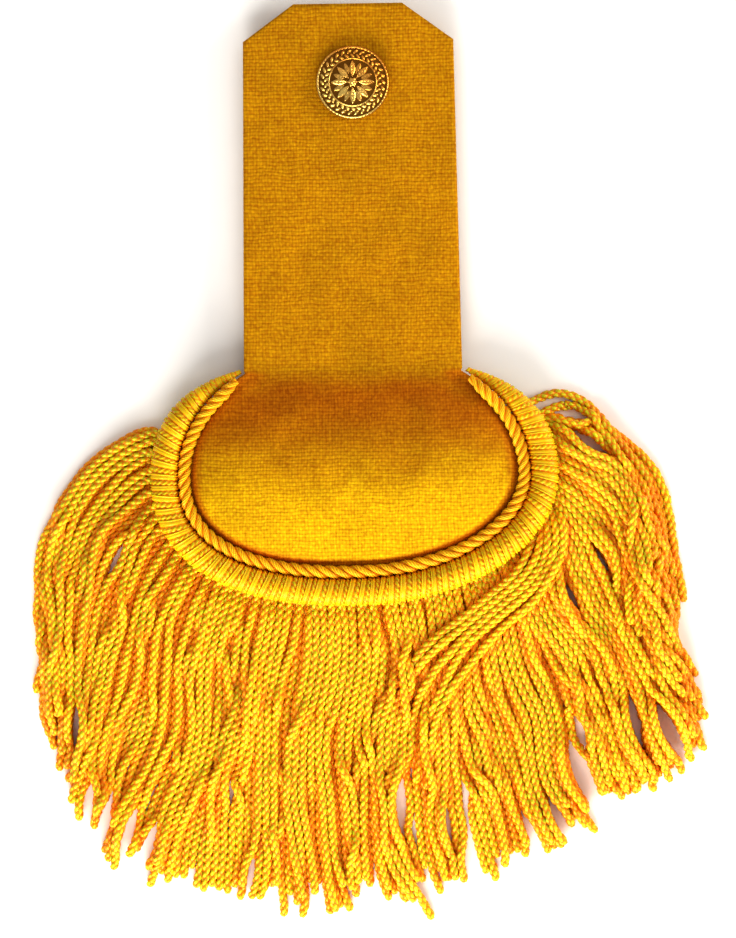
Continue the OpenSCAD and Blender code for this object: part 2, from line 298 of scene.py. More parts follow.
def tube_uv(rings, sides, along):
    """UV of the same quads and ends: u goes round once, v is the length along."""
    i, k = np.meshgrid(np.arange(rings - 1), np.arange(sides), indexing="ij")
    i, k = i.ravel(), k.ravel()
    u = np.stack([k, k, k + 1, k + 1], -1) / sides
    v = np.stack([along[i], along[i + 1], along[i + 1], along[i]], -1)
    round_end = np.arange(sides) / sides
    end = np.stack([round_end, np.full(sides, along[0])], -1)
    other = np.stack([round_end[::-1], np.full(sides, along[-1])], -1)
    return np.stack([u, v], -1).reshape(-1, 2), np.concatenate([end, other])


def new_tube(name, points, material, values, along=None):
    """A closed tube from rings of points that run clockwise, with UV where its length along is given."""
    rings, sides = points.shape[:2]
    faces = [part[:, ::-1] for part in tube_faces(rings, sides)]
    uv = None
    if along is not None:
        # Each face has its corners the other way round, and so has its UV
        uv = np.concatenate([
            part.reshape(-1, corners, 2)[:, ::-1].reshape(-1, 2)
            for part, corners in zip(tube_uv(rings, sides, along), (4, sides))])
    return new_piece(name, points.reshape(-1, 3), faces, material, values, uv)


def read_rows(data, key):
    """A value of three parts, such as a place, of each point of a mesh."""
    values = np.empty(len(data) * 3, np.float32)
    data.foreach_get(key, values)
    return values.reshape(-1, 3)


def distance_to(line, points):
    """Distance of each point from the nearest point of a line, in the plane."""
    return np.sqrt(((points[:, None] - line[None]) ** 2).sum(2).min(1))


def waves(rng, x, size):
    """A smooth random line of about unit height along x, whose bends are about this size."""
    count = 5
    total = np.zeros(len(x))
    for _ in range(count):
        turn = 2 * math.pi / (size * rng.uniform(0.7, 2.2))
        total = total + np.sin(turn * x + rng.uniform(0, 2 * math.pi))
    return total / math.sqrt(count / 2) / 1.6


# Materials

class Tree:
    """Adds and links the nodes of one node tree."""

    def __init__(self, tree):
        self.tree = tree
        self.count = 0

    def add(self, kind, values=None, **settings):
        node = self.tree.nodes.new(kind)
        node.location = (220 * (self.count % 12), -260 * (self.count // 12))
        self.count += 1
        for key, value in settings.items():
            setattr(node, key, value)
        for key, value in (values or {}).items():
            self.put(node.inputs[key], value)
        return node

    def put(self, socket, value):
        if isinstance(value, bpy.types.NodeSocket):
            self.tree.links.new(value, socket)
        else:
            socket.default_value = value

    def math(self, operation, a, b=0.0, c=0.0, clamp=False):
        node = self.add("ShaderNodeMath", {0: a, 1: b, 2: c}, operation=operation, use_clamp=clamp)
        return node.outputs[0]

    def times(self, a, b, clamp=False):
        return self.math("MULTIPLY", a, b, clamp=clamp)

    def plus(self, a, b, clamp=False):
        return self.math("ADD", a, b, clamp=clamp)

    def minus(self, a, b):
        return self.math("SUBTRACT", a, b)

    def times_plus(self, a, b, c):
        """a times b, plus c."""
        return self.math("MULTIPLY_ADD", a, b, c)

    def blend(self, share, a, b, mode="MIX"):
        node = self.add("ShaderNodeMix", data_type="RGBA", blend_type=mode)
        self.put(node.inputs[0], share)
        self.put(node.inputs[6], a)
        self.put(node.inputs[7], b)
        return node.outputs[2]

    def span(self, value, low, high, out_low=0.0, out_high=1.0):
        node = self.add("ShaderNodeMapRange", {
            "Value": value, "From Min": low, "From Max": high, "To Min": out_low, "To Max": out_high})
        return node.outputs[0]

    def split(self, vector):
        return self.add("ShaderNodeSeparateXYZ", {0: vector}).outputs

    def join(self, x, y, z=0.0):
        return self.add("ShaderNodeCombineXYZ", {0: x, 1: y, 2: z}).outputs[0]

    def noise(self, vector, scale, detail=2.0, rough=0.5):
        node = self.add("ShaderNodeTexNoise", {
            "Vector": vector, "Scale": scale, "Detail": detail, "Roughness": rough})
        return node.outputs[0]

    def tinted(self, colour, tone):
        """The colour times a tone that is about 1."""
        return self.blend(1.0, colour, self.join(tone, tone, tone), "MULTIPLY")

    def attribute(self, name):
        return self.add("ShaderNodeAttribute", attribute_name=name).outputs["Fac"]

    def thread_uv(self):
        return self.split(self.add("ShaderNodeUVMap", uv_map="threads").outputs[0])[:2]

    def place_mm(self):
        """The piece's own coordinates, in mm."""
        place = self.add("ShaderNodeTexCoord").outputs["Object"]
        scaled = self.add("ShaderNodeVectorMath", {0: place, "Scale": 1 / MM}, operation="SCALE")
        return scaled.outputs[0]


def new_group(name, inputs, outputs):
    """An empty node group. Inputs are given with their default, or None for a vector. Outputs are values."""
    group = bpy.data.node_groups.new(name, "ShaderNodeTree")
    for label, default in inputs.items():
        if default is None:
            group.interface.new_socket(label, in_out="INPUT", socket_type="NodeSocketVector")
        else:
            socket = group.interface.new_socket(label, in_out="INPUT", socket_type="NodeSocketFloat")
            socket.default_value = default
    for label in outputs:
        group.interface.new_socket(label, in_out="OUTPUT", socket_type="NodeSocketFloat")
    tree = Tree(group)
    return group, tree, tree.add("NodeGroupInput").outputs, tree.add("NodeGroupOutput")


def weave_group():
    """Plain weave: threads over and under each other, with uneven and slubbed threads."""
    if "Plain weave" in bpy.data.node_groups:
        return bpy.data.node_groups["Plain weave"]
    group, tree, given, out = new_group(
        "Plain weave", {"Place": None, "Warp": 0.88, "Weft": 1.05, "Unevenness": 0.5}, ("Height", "Tone"))
    drift = tree.noise(given["Place"], 0.12, 3)
    drift = tree.times(tree.minus(drift, 0.5), given["Unevenness"])
    x, y = tree.split(given["Place"])[:2]
    x = tree.times_plus(drift, 4.0, tree.math("DIVIDE", x, given["Warp"]))
    y = tree.times_plus(drift, -3.0, tree.math("DIVIDE", y, given["Weft"]))
    wave_x = tree.math("SINE", tree.times(x, math.pi))
    wave_y = tree.math("SINE", tree.times(y, math.pi))
    thread_x = tree.math("POWER", tree.math("ABSOLUTE", wave_x), 0.7)
    thread_y = tree.math("POWER", tree.math("ABSOLUTE", wave_y), 0.7)
    height = tree.times_plus(thread_x, 0.40, tree.times(thread_y, 0.50))
    height = tree.times_plus(tree.times(wave_x, wave_y), 0.16, height)
    # Each thread has its own thickness, which shows as faint lines along and across the strap
    along = tree.noise(tree.join(x, tree.times(y, 0.12)), 1.0, 3, 0.7)
    across = tree.noise(tree.join(tree.times(x, 0.10), y), 1.0, 3, 0.7)
    threads = tree.minus(tree.plus(along, across), 1.0)
    speck = tree.span(tree.noise(tree.join(x, y), 0.8, 2, 0.6), 0.38, 0.68, -0.5, 0.5)
    tone = tree.plus(tree.times(threads, 0.9), tree.times(speck, 0.45))
    # Painted shade: the low parts of the weave, between the threads, are given a darker tone
    tone = tree.times_plus(tree.minus(height, 0.6), 0.75, tone)
    tree.put(out.inputs["Height"], tree.times_plus(threads, 0.8, height))
    tree.put(out.inputs["Tone"], tree.plus(tone, 0.5, clamp=True))
    return group


def mottle_group():
    """Broad and fine changes of tone, as in dyed thread."""
    if "Dye mottling" in bpy.data.node_groups:
        return bpy.data.node_groups["Dye mottling"]
    group, tree, given, out = new_group(
        "Dye mottling", {"Place": None, "Patch": 6.0, "Depth": 0.2}, ("Tone",))
    size = tree.math("DIVIDE", 1.0, given["Patch"])
    broad = tree.noise(given["Place"], size, 3)
    fine = tree.noise(given["Place"], tree.times(size, 9.0), 2)
    both = tree.plus(tree.times(broad, 1.3), tree.times(fine, 0.7))
    both = tree.times(tree.minus(both, 1.0), given["Depth"])
    tree.put(out.inputs["Tone"], tree.plus(both, 1.0))
    return group


def strand_group():
    """Fine filaments that run slantwise along a thread, from its UV."""
    if "Filament lines" in bpy.data.node_groups:
        return bpy.data.node_groups["Filament lines"]
    group, tree, given, out = new_group(
        "Filament lines", {"Round": 0.0, "Along": 0.0, "Count": 30.0, "Slant": 2.0}, ("Height",))
    slid = tree.times_plus(given["Along"], given["Slant"], tree.times(given["Round"], given["Count"]))
    line = tree.math("SINE", tree.times(slid, 2 * math.pi))
    uneven = tree.noise(tree.join(slid, tree.times(given["Along"], 0.6)), 1.3, 2, 0.6)
    height = tree.times_plus(line, 0.3, tree.times(uneven, 0.9))
    tree.put(out.inputs["Height"], height)
    return group


def plies_group():
    """Relief of a cord of three plies of two yarns. Round follows the twist and Along counts plies."""
    if "Twisted plies" in bpy.data.node_groups:
        return bpy.data.node_groups["Twisted plies"]
    group, tree, given, out = new_group(
        "Twisted plies", {"Round": 0.0, "Along": 0.0, "Lumps": 1.9}, ("Height",))
    turned = tree.times(given["Round"], 3.0)
    ply = tree.math("FLOOR", turned)
    beside = tree.minus(tree.minus(turned, ply), 0.5)
    fall = tree.times(tree.math("POWER", beside, 2.0), 3.6)
    round_ply = tree.math("SQRT", tree.minus(1.0, fall))
    # The two yarns of a ply pass over each other as a row of beads across the ply
    turn = tree.times_plus(given["Along"], given["Lumps"], tree.times(ply, 0.37))
    turn = tree.times_plus(beside, -1.1, turn)
    uneven = tree.noise(tree.join(given["Along"], ply), 0.9, 2, 0.5)
    turn = tree.times_plus(uneven, 0.5, turn)
    wave = tree.math("SINE", tree.times(turn, math.pi))
    bead = tree.math("POWER", tree.math("ABSOLUTE", wave), 0.9)
    yarns = tree.times_plus(bead, 0.72, 0.28)
    tree.put(out.inputs["Height"], tree.times(round_ply, yarns))
    return group


def use_group(tree, group, values):
    return tree.add("ShaderNodeGroup", values, node_tree=group).outputs


def mottled(tree, place, patch, depth):
    return use_group(tree, mottle_group(), {"Place": place, "Patch": patch, "Depth": depth})["Tone"]


def filaments(tree, u, v, count, slant):
    return use_group(tree, strand_group(), {"Round": u, "Along": v, "Count": count, "Slant": slant})["Height"]


def new_material(name, constants):
    """A material with a Principled shader that has these constants on its sockets, and its tree."""
    material = bpy.data.materials.new(name)
    material.use_nodes = True
    material.node_tree.nodes.clear()
    tree = Tree(material.node_tree)
    shader = tree.add("ShaderNodeBsdfPrincipled", constants)
    out = tree.add("ShaderNodeOutputMaterial")
    tree.put(out.inputs["Surface"], shader.outputs[0])
    return material, tree, shader.inputs


def rgb(colour):
    return (*colour, 1.0)


def bump(tree, height, distance, normal=None):
    """A bump whose full height is the given distance in mm, on top of another one where that is given."""
    values = {"Height": height, "Distance": distance * MM, "Strength": 1.0}
    if normal is not None:
        values["Normal"] = normal
    return tree.add("ShaderNodeBump", values).outputs[0]


def cloth_material():
    """Plain woven cloth with a slight sheen."""
    if "woven cloth" in bpy.data.materials:
        return bpy.data.materials["woven cloth"]
    sizes = bpy.context.scene.epaulette_strap
    material, tree, shader = new_material(
        "woven cloth", {"Specular IOR Level": 0.20, "Specular Tint": (1.0, 0.75, 0.2, 1)})
    place = tree.place_mm()
    weave = use_group(tree, weave_group(), {"Place": place, "Unevenness": 0.5})
    mottle = mottled(tree, place, 11.0, 0.34)
    colour = tree.blend(weave["Tone"], rgb(sizes.colour_deep), rgb(sizes.colour))
    # Painted light and shade from the lean attribute: slopes lit from the fringe end are tinted yellow, and
    # slopes facing the neck and the strip beside the cord are tinted darker orange
    lean = tree.attribute("lean")
    colour = tree.blend(tree.times(lean, 5.0, clamp=True), colour, (1.22, 1.52, 1.0, 1), "MULTIPLY")
    colour = tree.blend(tree.times(lean, -2.2, clamp=True), colour, (1.02, 0.68, 1.0, 1), "MULTIPLY")
    # Painted light: the shaded crevice between cord and cloth is brightened to a warm orange
    crevice = tree.span(lean, -0.45, -0.75, 0.0, 1.0)
    colour = tree.blend(crevice, colour, (1.70, 1.40, 1.0, 1), "MULTIPLY")
    tree.put(shader["Base Color"], tree.tinted(colour, mottle))
    tree.put(shader["Roughness"], tree.span(weave["Tone"], 0.0, 1.0, 0.85, 0.62))
    tree.put(shader["Normal"], bump(tree, weave["Height"], 0.12))
    return material


def thread_material(name, colour, colour_deep, count, slant, relief, rough):
    """Glossy rayon thread: pale where the strand stands out, with painted shade as a deep orange in its
    grooves and crevices.
    """
    if name in bpy.data.materials:
        return bpy.data.materials[name]
    material, tree, shader = new_material(name, {
        "Specular IOR Level": 0.5, "Specular Tint": (1.0, 0.85, 0.4, 1), "Subsurface Weight": 0.35,
        "Subsurface Radius": THREAD_GLOW, "Subsurface Scale": 0.8 * MM})
    u, v = tree.thread_uv()
    lines = filaments(tree, u, v, count, slant)
    share = tree.times(tree.minus(lines, 0.45), 0.35)
    # Painted shade: where the raised attribute is low, in grooves and crevices, the deep colour is used
    share = tree.plus(tree.attribute("raised"), share, clamp=True)
    light = tree.times(mottled(tree, tree.place_mm(), 5.0, 0.2), tree.attribute("tone"))
    made = tree.blend(share, rgb(colour_deep), rgb(colour))
    tree.put(shader["Base Color"], tree.tinted(made, light))
    tree.put(shader["Roughness"], tree.span(lines, 0.0, 1.0, rough + 0.12, rough - 0.05))
    tree.put(shader["Normal"], bump(tree, lines, relief))
    return material


def fringe_material(sizes):
    """Glossy rayon cord: pale on the plies, with painted shade as a deep orange between them, on its sides
    and underside, and under other cords.
    """
    name = "rayon fringe cord"
    if name in bpy.data.materials:
        return bpy.data.materials[name]
    material, tree, shader = new_material(name, {
        "Specular IOR Level": 0.5, "Specular Tint": (1.0, 0.92, 0.65, 1), "Subsurface Weight": 0.6,
        "Subsurface Radius": THREAD_GLOW, "Subsurface Scale": 1.4 * MM})
    u, v = tree.thread_uv()
    plies = use_group(tree, plies_group(), {"Round": u, "Along": v})["Height"]
    lines = filaments(tree, u, v, 33.0, 4.0)
    share = tree.plus(tree.span(plies, 0.22, 0.80), tree.times_plus(lines, 0.25, -0.11), clamp=True)
    # Painted shade: parts under other cords, and the sides and underside of each cord, get more of the deep
    # orange
    share = tree.times(share, tree.times_plus(tree.attribute("cover"), -0.65, 1.0))
    light = tree.times(mottled(tree, tree.place_mm(), 5.0, 0.22), tree.attribute("tone"))
    made = tree.blend(share, rgb(sizes.colour_deep), rgb(sizes.colour))
    tree.put(shader["Base Color"], tree.tinted(made, light))
    tree.put(shader["Roughness"], tree.span(lines, 0.0, 1.0, 0.48, 0.33))
    tree.put(shader["Normal"], bump(tree, lines, 0.02, normal=bump(tree, plies, 0.36)))
    return material


def brass_material():
    """Struck brass, bright on what stands out and tarnished in the recesses."""
    if "struck brass" in bpy.data.materials:
        return bpy.data.materials["struck brass"]
    sizes = bpy.context.scene.epaulette_button
    material, tree, shader = new_material("struck brass", {"Metallic": 1.0})
    place = tree.place_mm()
    mottle = mottled(tree, place, 1.6, 0.35)
    grain = tree.noise(place, 9.0, 3, 0.7)
    share = tree.plus(tree.attribute("raised"), tree.times(tree.minus(grain, 0.5), 0.6), clamp=True)
    # Blends to copper towards one side, the upper right
    x, y = tree.split(place)[:2]
    mid_x, mid_y = (float(value) for value in BUTTON_MIDDLE)
    copper_side = tree.times_plus(tree.minus(x, mid_x), 0.7, tree.minus(y, mid_y))
    copper_side = tree.times_plus(tree.noise(place, 0.35, 2), 8.0, copper_side)
    colour = tree.blend(tree.span(copper_side, -1.0, 11.0, 0.0, 0.95), rgb(sizes.colour), (0.90, 0.42, 0.07, 1))
    colour = tree.blend(share, rgb(sizes.colour_deep), colour)
    tree.put(shader["Base Color"], tree.tinted(colour, mottle))
    tree.put(shader["Roughness"], tree.span(share, 0.0, 1.0, 0.50, 0.20))
    tree.put(shader["Normal"], bump(tree, grain, 0.02))
    return material


# Strap and padded field

def padding(strap, y, inside):
    """Height of the padding, which starts below the strap and falls off towards the rim."""
    top_y, top_run = 27, 25
    lip_height, lip_in, lip_run = 3.0, 0.35, 0.36
    crest_run, crest_power = 26, 2.1
    from_rim = inside - cord_rim()
    lip = lip_height * (1 - np.exp(-np.clip(from_rim + lip_in, 0, None) / lip_run))
    shoulder = 1 - (1 - np.clip(from_rim / crest_run, 0, 1)) ** crest_power
    return (lip + (strap.crest - lip_height) * shoulder) * ease((top_y - y) / top_run)


def strap_half_width(strap, down, run):
    """Half width of the strap at a distance down from its neck end."""
    corner = mix(strap.neck_width, strap.width, down / strap.corner)
    straight = mix(strap.width, strap.width_low, (down - strap.corner) / (run - strap.corner))
    return np.where(down < strap.corner, corner, straight) / 2


def build_strap_cloth(outline, strap):
    """Rows of points round the whole section, from the neck end to the bottom of the field."""
    field_top = float(outline.point(outline.start, -BOARD_IN)[1])
    run = NECK_Y - field_top
    face = BOARD_UNDER + strap.thickness
    r = strap.edge_round
    foot_r = r / 2
    turn = np.radians(np.array([0, 22.5, 45, 67.5, 90]))
    # Round edge: how far in and how far under the face, from the side up on to the face
    edge_in = r * (1 - np.cos(turn))
    edge_drop = r * (1 - np.sin(turn))
    corner_rows, strap_rows, field_rows = 12, 110, 88
    downs = np.concatenate([edge_in, np.linspace(edge_in[-1], strap.corner, corner_rows)[1:],
                            np.linspace(strap.corner, run, strap_rows)[1:-1]])
    halves = strap_half_width(strap, downs, run)
    shares = np.linspace(0, 1, field_rows + 1)
    # The rows of the field fan out from a spine in its middle
    spine_top, spine_low = 20.0, -6.0
    spine_y = mix(spine_top, spine_low, ease(shares))
    rows = []
    for down, half in zip(downs, halves):
        y = NECK_Y - down
        drop = float(np.interp(down, edge_in, edge_drop))
        rows.append((np.array([AXIS_X - half, y]), np.array([AXIS_X + half, y]), np.array([AXIS_X, y]), drop))
    for share, y in zip(shares, spine_y):
        left = outline.point(mix(outline.start, 1.5 * math.pi, share), -BOARD_IN)
        right = outline.point(mix(outline.end, 1.5 * math.pi, share), -BOARD_IN)
        rows.append((left, right, np.array([AXIS_X, y]), 0.0))
    rim = cord_rim()
    rng = np.random.default_rng(3)
    # Soft folds, as waves with a number per mm, a start and a direction
    folds = rng.uniform(0, (0.12, 2 * math.pi, 2 * math.pi), (9, 3)) + (0.02, 0, 0)
    fold_height = 0.035
    # Points of half a section, as shares of the way in
    under_shares, rim_shares = (1.0, 0.7, 0.4, 0.15), (0.33, 0.66, 1.0)
    face_shares = np.linspace(0, 1, 34)[1:]
    foot_turn = np.radians([67.5, 45, 22.5, 0])
    face_first = len(under_shares) + len(foot_turn) + len(edge_in)

    def section(side, spine, drop_row):
        """Points of half a section, from the middle of the underside to the middle of the face."""
        full = np.linalg.norm(spine - side)
        ahead = (spine - side) / full
        inside = np.concatenate([
            np.maximum(np.multiply(under_shares, full), foot_r), foot_r * (1 - np.cos(foot_turn)), edge_in,
            mix(r, rim, np.array(rim_shares)), mix(rim, full, face_shares)])
        height = np.concatenate([
            np.full(len(under_shares), BOARD_UNDER), BOARD_UNDER + foot_r * (1 - np.sin(foot_turn)),
            face - np.maximum(edge_drop, drop_row),
            np.full(len(rim_shares) + len(face_shares), face - drop_row)])
        points = side + inside[:, None] * ahead
        x, y = points.T
        top = np.arange(len(inside)) >= face_first
        height = height + np.where(top, padding(strap, y, inside), 0)
        ripple = sum(np.sin(k * (x * math.cos(a) + y * math.sin(a)) + b) for k, a, b in folds)
        soft = np.clip((inside - r) / 3, 0, 1) * (drop_row <= 0)
        height = height + np.where(top, fold_height * ripple * soft, 0)
        return np.column_stack([points, height])

    loops = []
    for left, right, spine, drop_row in rows:
        a = section(left, spine, drop_row)
        b = section(right, spine, drop_row)
        loops.append(np.concatenate([a, b[::-1][1:-1]]))
    count = len(loops[0])
    points = np.concatenate(loops)
    face_part = np.arange(face_first, count - face_first + 2)
    field = np.concatenate([face_part + k * count for k in range(len(downs), len(rows))])
    points[field, 2] += swelling(outline, points[field])
    quads = ring_quads(len(loops), count)[:, [0, 3, 2, 1]]
    # The neck end is closed between the underside and the face
    cap = np.arange(count)[None, ::-1]
    piece = new_piece("strap_cloth", points, [quads, cap], cloth_material())
    close_up(piece, 0.02)
    add_painted_light_and_shade(piece, outline, face, field_top)
    return piece


def add_painted_light_and_shade(piece, outline, face, field_top):
    """Painted light and shade on the cloth of the field at each point, from -1 where a slope faces the neck,
    away from the lamps, to 1 where it faces the fringe and the lamps. Beside the cord it is negative for
    painted shade, and it is lowest on the crevice wall, which the material brightens instead.
    """
    normal = read_rows(piece.data.vertices, "normal")
    place = read_rows(piece.data.vertices, "co") / MM
    y = place[:, 1]
    line = outline.point(outline.angle(np.linspace(0, outline.length, 400)))
    from_cord = distance_to(line, place[:, :2]) - cord_rim()
    # Beside the cord, where its shadow falls, the value is negative for painted shade. Low on the field it
    # drops further on the foot of the padding, where the material paints light into the crevice.
    cord_shade_run, foot_run = 3.2, 0.9
    low_y, low_run = 6, 20
    stretch_y, stretch_run, stretch = 12, 14, 0.10
    free = ease((from_cord + 0.2) / cord_shade_run)
    low_wall = (place[:, 2] > face + 0.1) * ease((low_y - y) / low_run)
    painted_cord_shade = -0.4 - 0.4 * low_wall * (1 - ease(from_cord / foot_run))
    # Painted light: the lower field is tinted yellower, as if more brightly lit
    painted_low_light = stretch * ease((stretch_y - y) / stretch_run)
    # Painted light and shade from the slope: a slope facing the fringe end and the lamps is tinted yellow,
    # and a slope facing the neck is tinted darker orange
    value = mix(painted_cord_shade, painted_low_light - normal[:, 1] * (normal[:, 2] > 0.3), free) * (y < field_top)
    lean = piece.data.attributes.new("lean", "FLOAT", "POINT")
    lean.data.foreach_set("value", value.astype(np.float32))


def cell_weights(x):
    """Six times the weights of four grid points in a row, for a smooth line at x between the middle two."""
    return (1 - x) ** 3, 3 * x ** 3 - 6 * x ** 2 + 4, -3 * x ** 3 + 3 * x ** 2 + 3 * x + 1, x ** 3


def swelling(outline, pad):
    """How far the cloth swells over its padding at each point of the field.

    A sheet that is sewn down at its rim is simulated with pressure under it.
    """
    cell = 3.0
    least_rise, most_rise = -0.4, 1.5
    field_end_y = 32
    low = pad[:, :2].min(0) - cell
    columns, lines = (np.ceil((pad[:, :2].max(0) - low) / cell) + 2).astype(int)
    i, k = np.meshgrid(np.arange(columns), np.arange(lines), indexing="ij")
    place = low + cell * np.stack([i, k], -1).reshape(-1, 2)
    far = ((place[:, None] - pad[None, :, :2]) ** 2).sum(2)
    weight = 1 / (far + 0.3) ** 2
    height = (weight * pad[:, 2]).sum(1) / weight.sum(1)
    from_rim = distance_to(outline.point(np.linspace(outline.start, outline.end, 500), -cord_rim()), place)
    used = far.min(1) < cell ** 2
    free = used & (from_rim > 0.8 * cell) & (place[:, 1] < field_end_y)
    grid = np.arange(len(place)).reshape(columns, lines)
    faces = np.stack([grid[:-1, :-1], grid[1:, :-1], grid[1:, 1:], grid[:-1, 1:]], -1).reshape(-1, 4)
    faces = faces[used[faces].all(1)]
    mesh = bpy.data.meshes.new("sheet")
    mesh.from_pydata((np.column_stack([place, height]) * MM).tolist(), [], faces.tolist())
    sheet = bpy.data.objects.new("sheet", mesh)
    scene = bpy.context.scene
    scene.collection.objects.link(sheet)
    held = (np.bincount(faces.ravel(), minlength=len(place)) < 4) | ~free
    sewn = sheet.vertex_groups.new(name="sewn")
    sewn.add(np.flatnonzero(held).tolist(), 1.0, "REPLACE")
    cloth = sheet.modifiers.new("cloth", "CLOTH")
    cloth.settings.quality = 6
    cloth.settings.mass = 0.3
    cloth.settings.effector_weights.gravity = 0
    cloth.settings.vertex_group_mass = "sewn"
    cloth.settings.use_pressure = True
    cloth.settings.uniform_pressure_force = 4
    cloth.settings.shrink_min = -0.003
    last_frame = 20
    for number in range(1, last_frame + 1):
        scene.frame_set(number)
    moved = read_rows(sheet.evaluated_get(bpy.context.evaluated_depsgraph_get()).data.vertices, "co")
    bpy.data.objects.remove(sheet)
    bpy.data.meshes.remove(mesh)
    scene.frame_set(1)
    rise = np.clip(moved[:, 2] / MM - height, least_rise, most_rise)
    rise = np.where(held, 0, rise).reshape(columns, lines)
    # A smooth surface through the sheet's cells
    at = (pad[:, :2] - low) / cell
    base = np.floor(at).astype(int)
    x, y = (at - base).T
    total = np.zeros(len(pad))
    for a, wa in enumerate(cell_weights(x)):
        for b, wb in enumerate(cell_weights(y)):
            ca = np.clip(base[:, 0] + a - 1, 0, columns - 1)
            cb = np.clip(base[:, 1] + b - 1, 0, lines - 1)
            total += wa * wb / 36 * rise[ca, cb]
    return total


def close_up(piece, distance):
    """Joins points that lie on each other."""
    made = bmesh.new()
    made.from_mesh(piece.data)
    bmesh.ops.remove_doubles(made, verts=made.verts, dist=distance * MM)
    bmesh.ops.dissolve_degenerate(made, edges=made.edges, dist=distance * MM / 4)
    bmesh.ops.recalc_face_normals(made, faces=made.faces)
    made.to_mesh(piece.data)
    made.free()


# Twisted cord and wound roll

def ring_points(outline, run, out, z, radius, angle):
    """Rings of points round the field's line, each point with its place along it, radius and angle, and each
    ring with its distance out and height."""
    t = outline.angle(run)
    across = out[:, None] + radius * np.cos(angle)
    xy = outline.point(t) + across[..., None] * outline.outward(t)
    return np.concatenate([xy, (z[:, None] + radius * np.sin(angle))[..., None]], -1)


def ply_radius(angle, plies, size):
    """Distance from a cord's axis to its surface, for round plies that touch, and the angle round the ply."""
    half = math.pi / plies
    turned = (angle + half) % (2 * half) - half
    offset = size / (1 + math.sin(half))
    ply = size - offset
    inside = np.maximum(ply ** 2 - (offset * np.sin(turned)) ** 2, 0)
    radius = offset * np.cos(turned) + np.sqrt(inside)
    around = np.arctan2(radius * np.sin(turned), radius * np.cos(turned) - offset)
    return radius, around


def build_edge_rope(outline, sizes):
    """Three plies of some yarns each, whose twist is longer where the cord is stretched."""
    rng = np.random.default_rng(21)
    plies, per_ply = 3, sizes.around
    end_in, end_run, end_share = 3.0, 9, 0.45
    rings = int((outline.length - 2 * end_in) / (sizes.lay / sizes.rings)) + 1
    run = np.linspace(end_in, outline.length - end_in, rings)
    near = np.minimum(run, outline.length - run)
    radius = mix(end_share, 1.0, ease(near / end_run)) * sizes.diameter / 2
    # Points crowd towards the groove between two plies
    share = (np.arange(per_ply) + 0.5) / per_ply * 2 - 1
    crowded = np.sign(share) * (1 - (1 - np.abs(share)) ** 1.25)
    local = (np.arange(plies)[:, None] + 0.5 + crowded[None] / 2).ravel() * 2 * math.pi / plies
    lay = mix(sizes.lay, sizes.lay_low, np.sin(math.pi * run / outline.length) ** 3)
    twist = -np.cumsum(2 * math.pi * (run[1] - run[0]) / lay) + 0.25 * waves(rng, run, 40)
    full, around = ply_radius(local - math.pi / plies, plies, 1.0)
    yarn_lay = 6.5
    yarn_turn = 2 * math.pi * run / yarn_lay
    corrugated = np.cos(sizes.yarns * (around[None] + yarn_turn[:, None]))
    stretch = 1 + 0.03 * waves(rng, run, 14)
    size = radius[:, None] * stretch[:, None] * (0.2 + 0.8 * full[None] + 0.07 * corrugated)
    angle = local[None] + twist[:, None]
    z = CORD_UNDER - 0.35 + radius
    out = 0.18 - radius + 0.06 * waves(rng, run, 30)
    ones = np.ones(angle.shape)
    points = ring_points(outline, run[:, None] * ones, out, z, size, angle)
    # Painted shade: the grooves between plies and between yarns are marked for the deep orange
    on_yarn = 0.30 + 0.85 * np.clip(corrugated, 0, 1) ** 1.5
    raised = np.clip((full[None] - 0.56) / 0.20, 0, 1) * on_yarn
    # Painted shade: the side towards the roll, in the crevice between cord and roll, gets the deep orange
    raised = raised * (1 - 0.9 * ease((np.cos(angle) - 0.72) / 0.26))
    tone = 1 + 0.05 * waves(rng, run, 9)[:, None] * ones
    material = thread_material(
        "twisted rayon cord", sizes.colour, sizes.colour_deep, count=60, slant=1.2, relief=0.03, rough=0.36)
    return new_tube("edge_rope", points, material, {"raised": raised, "tone": tone}, run)


# Section of one wrap: place across the thread, and height there as a share. The satin thread is two flat
# strands side by side, one of them standing out as a ridge.
SATIN = np.array([
    (0.0, 0.05), (0.06, 0.70), (0.14, 1.08), (0.23, 0.80), (0.30, 0.58), (0.44, 0.80), (0.62, 0.84),
    (0.80, 0.72), (0.94, 0.40)])
THIN = np.array([(0.0, 0.05), (0.18, 0.66), (0.5, 0.88), (0.82, 0.62)])
# Width of the satin thread as a share of the pitch
SATIN_WIDTH = 0.56


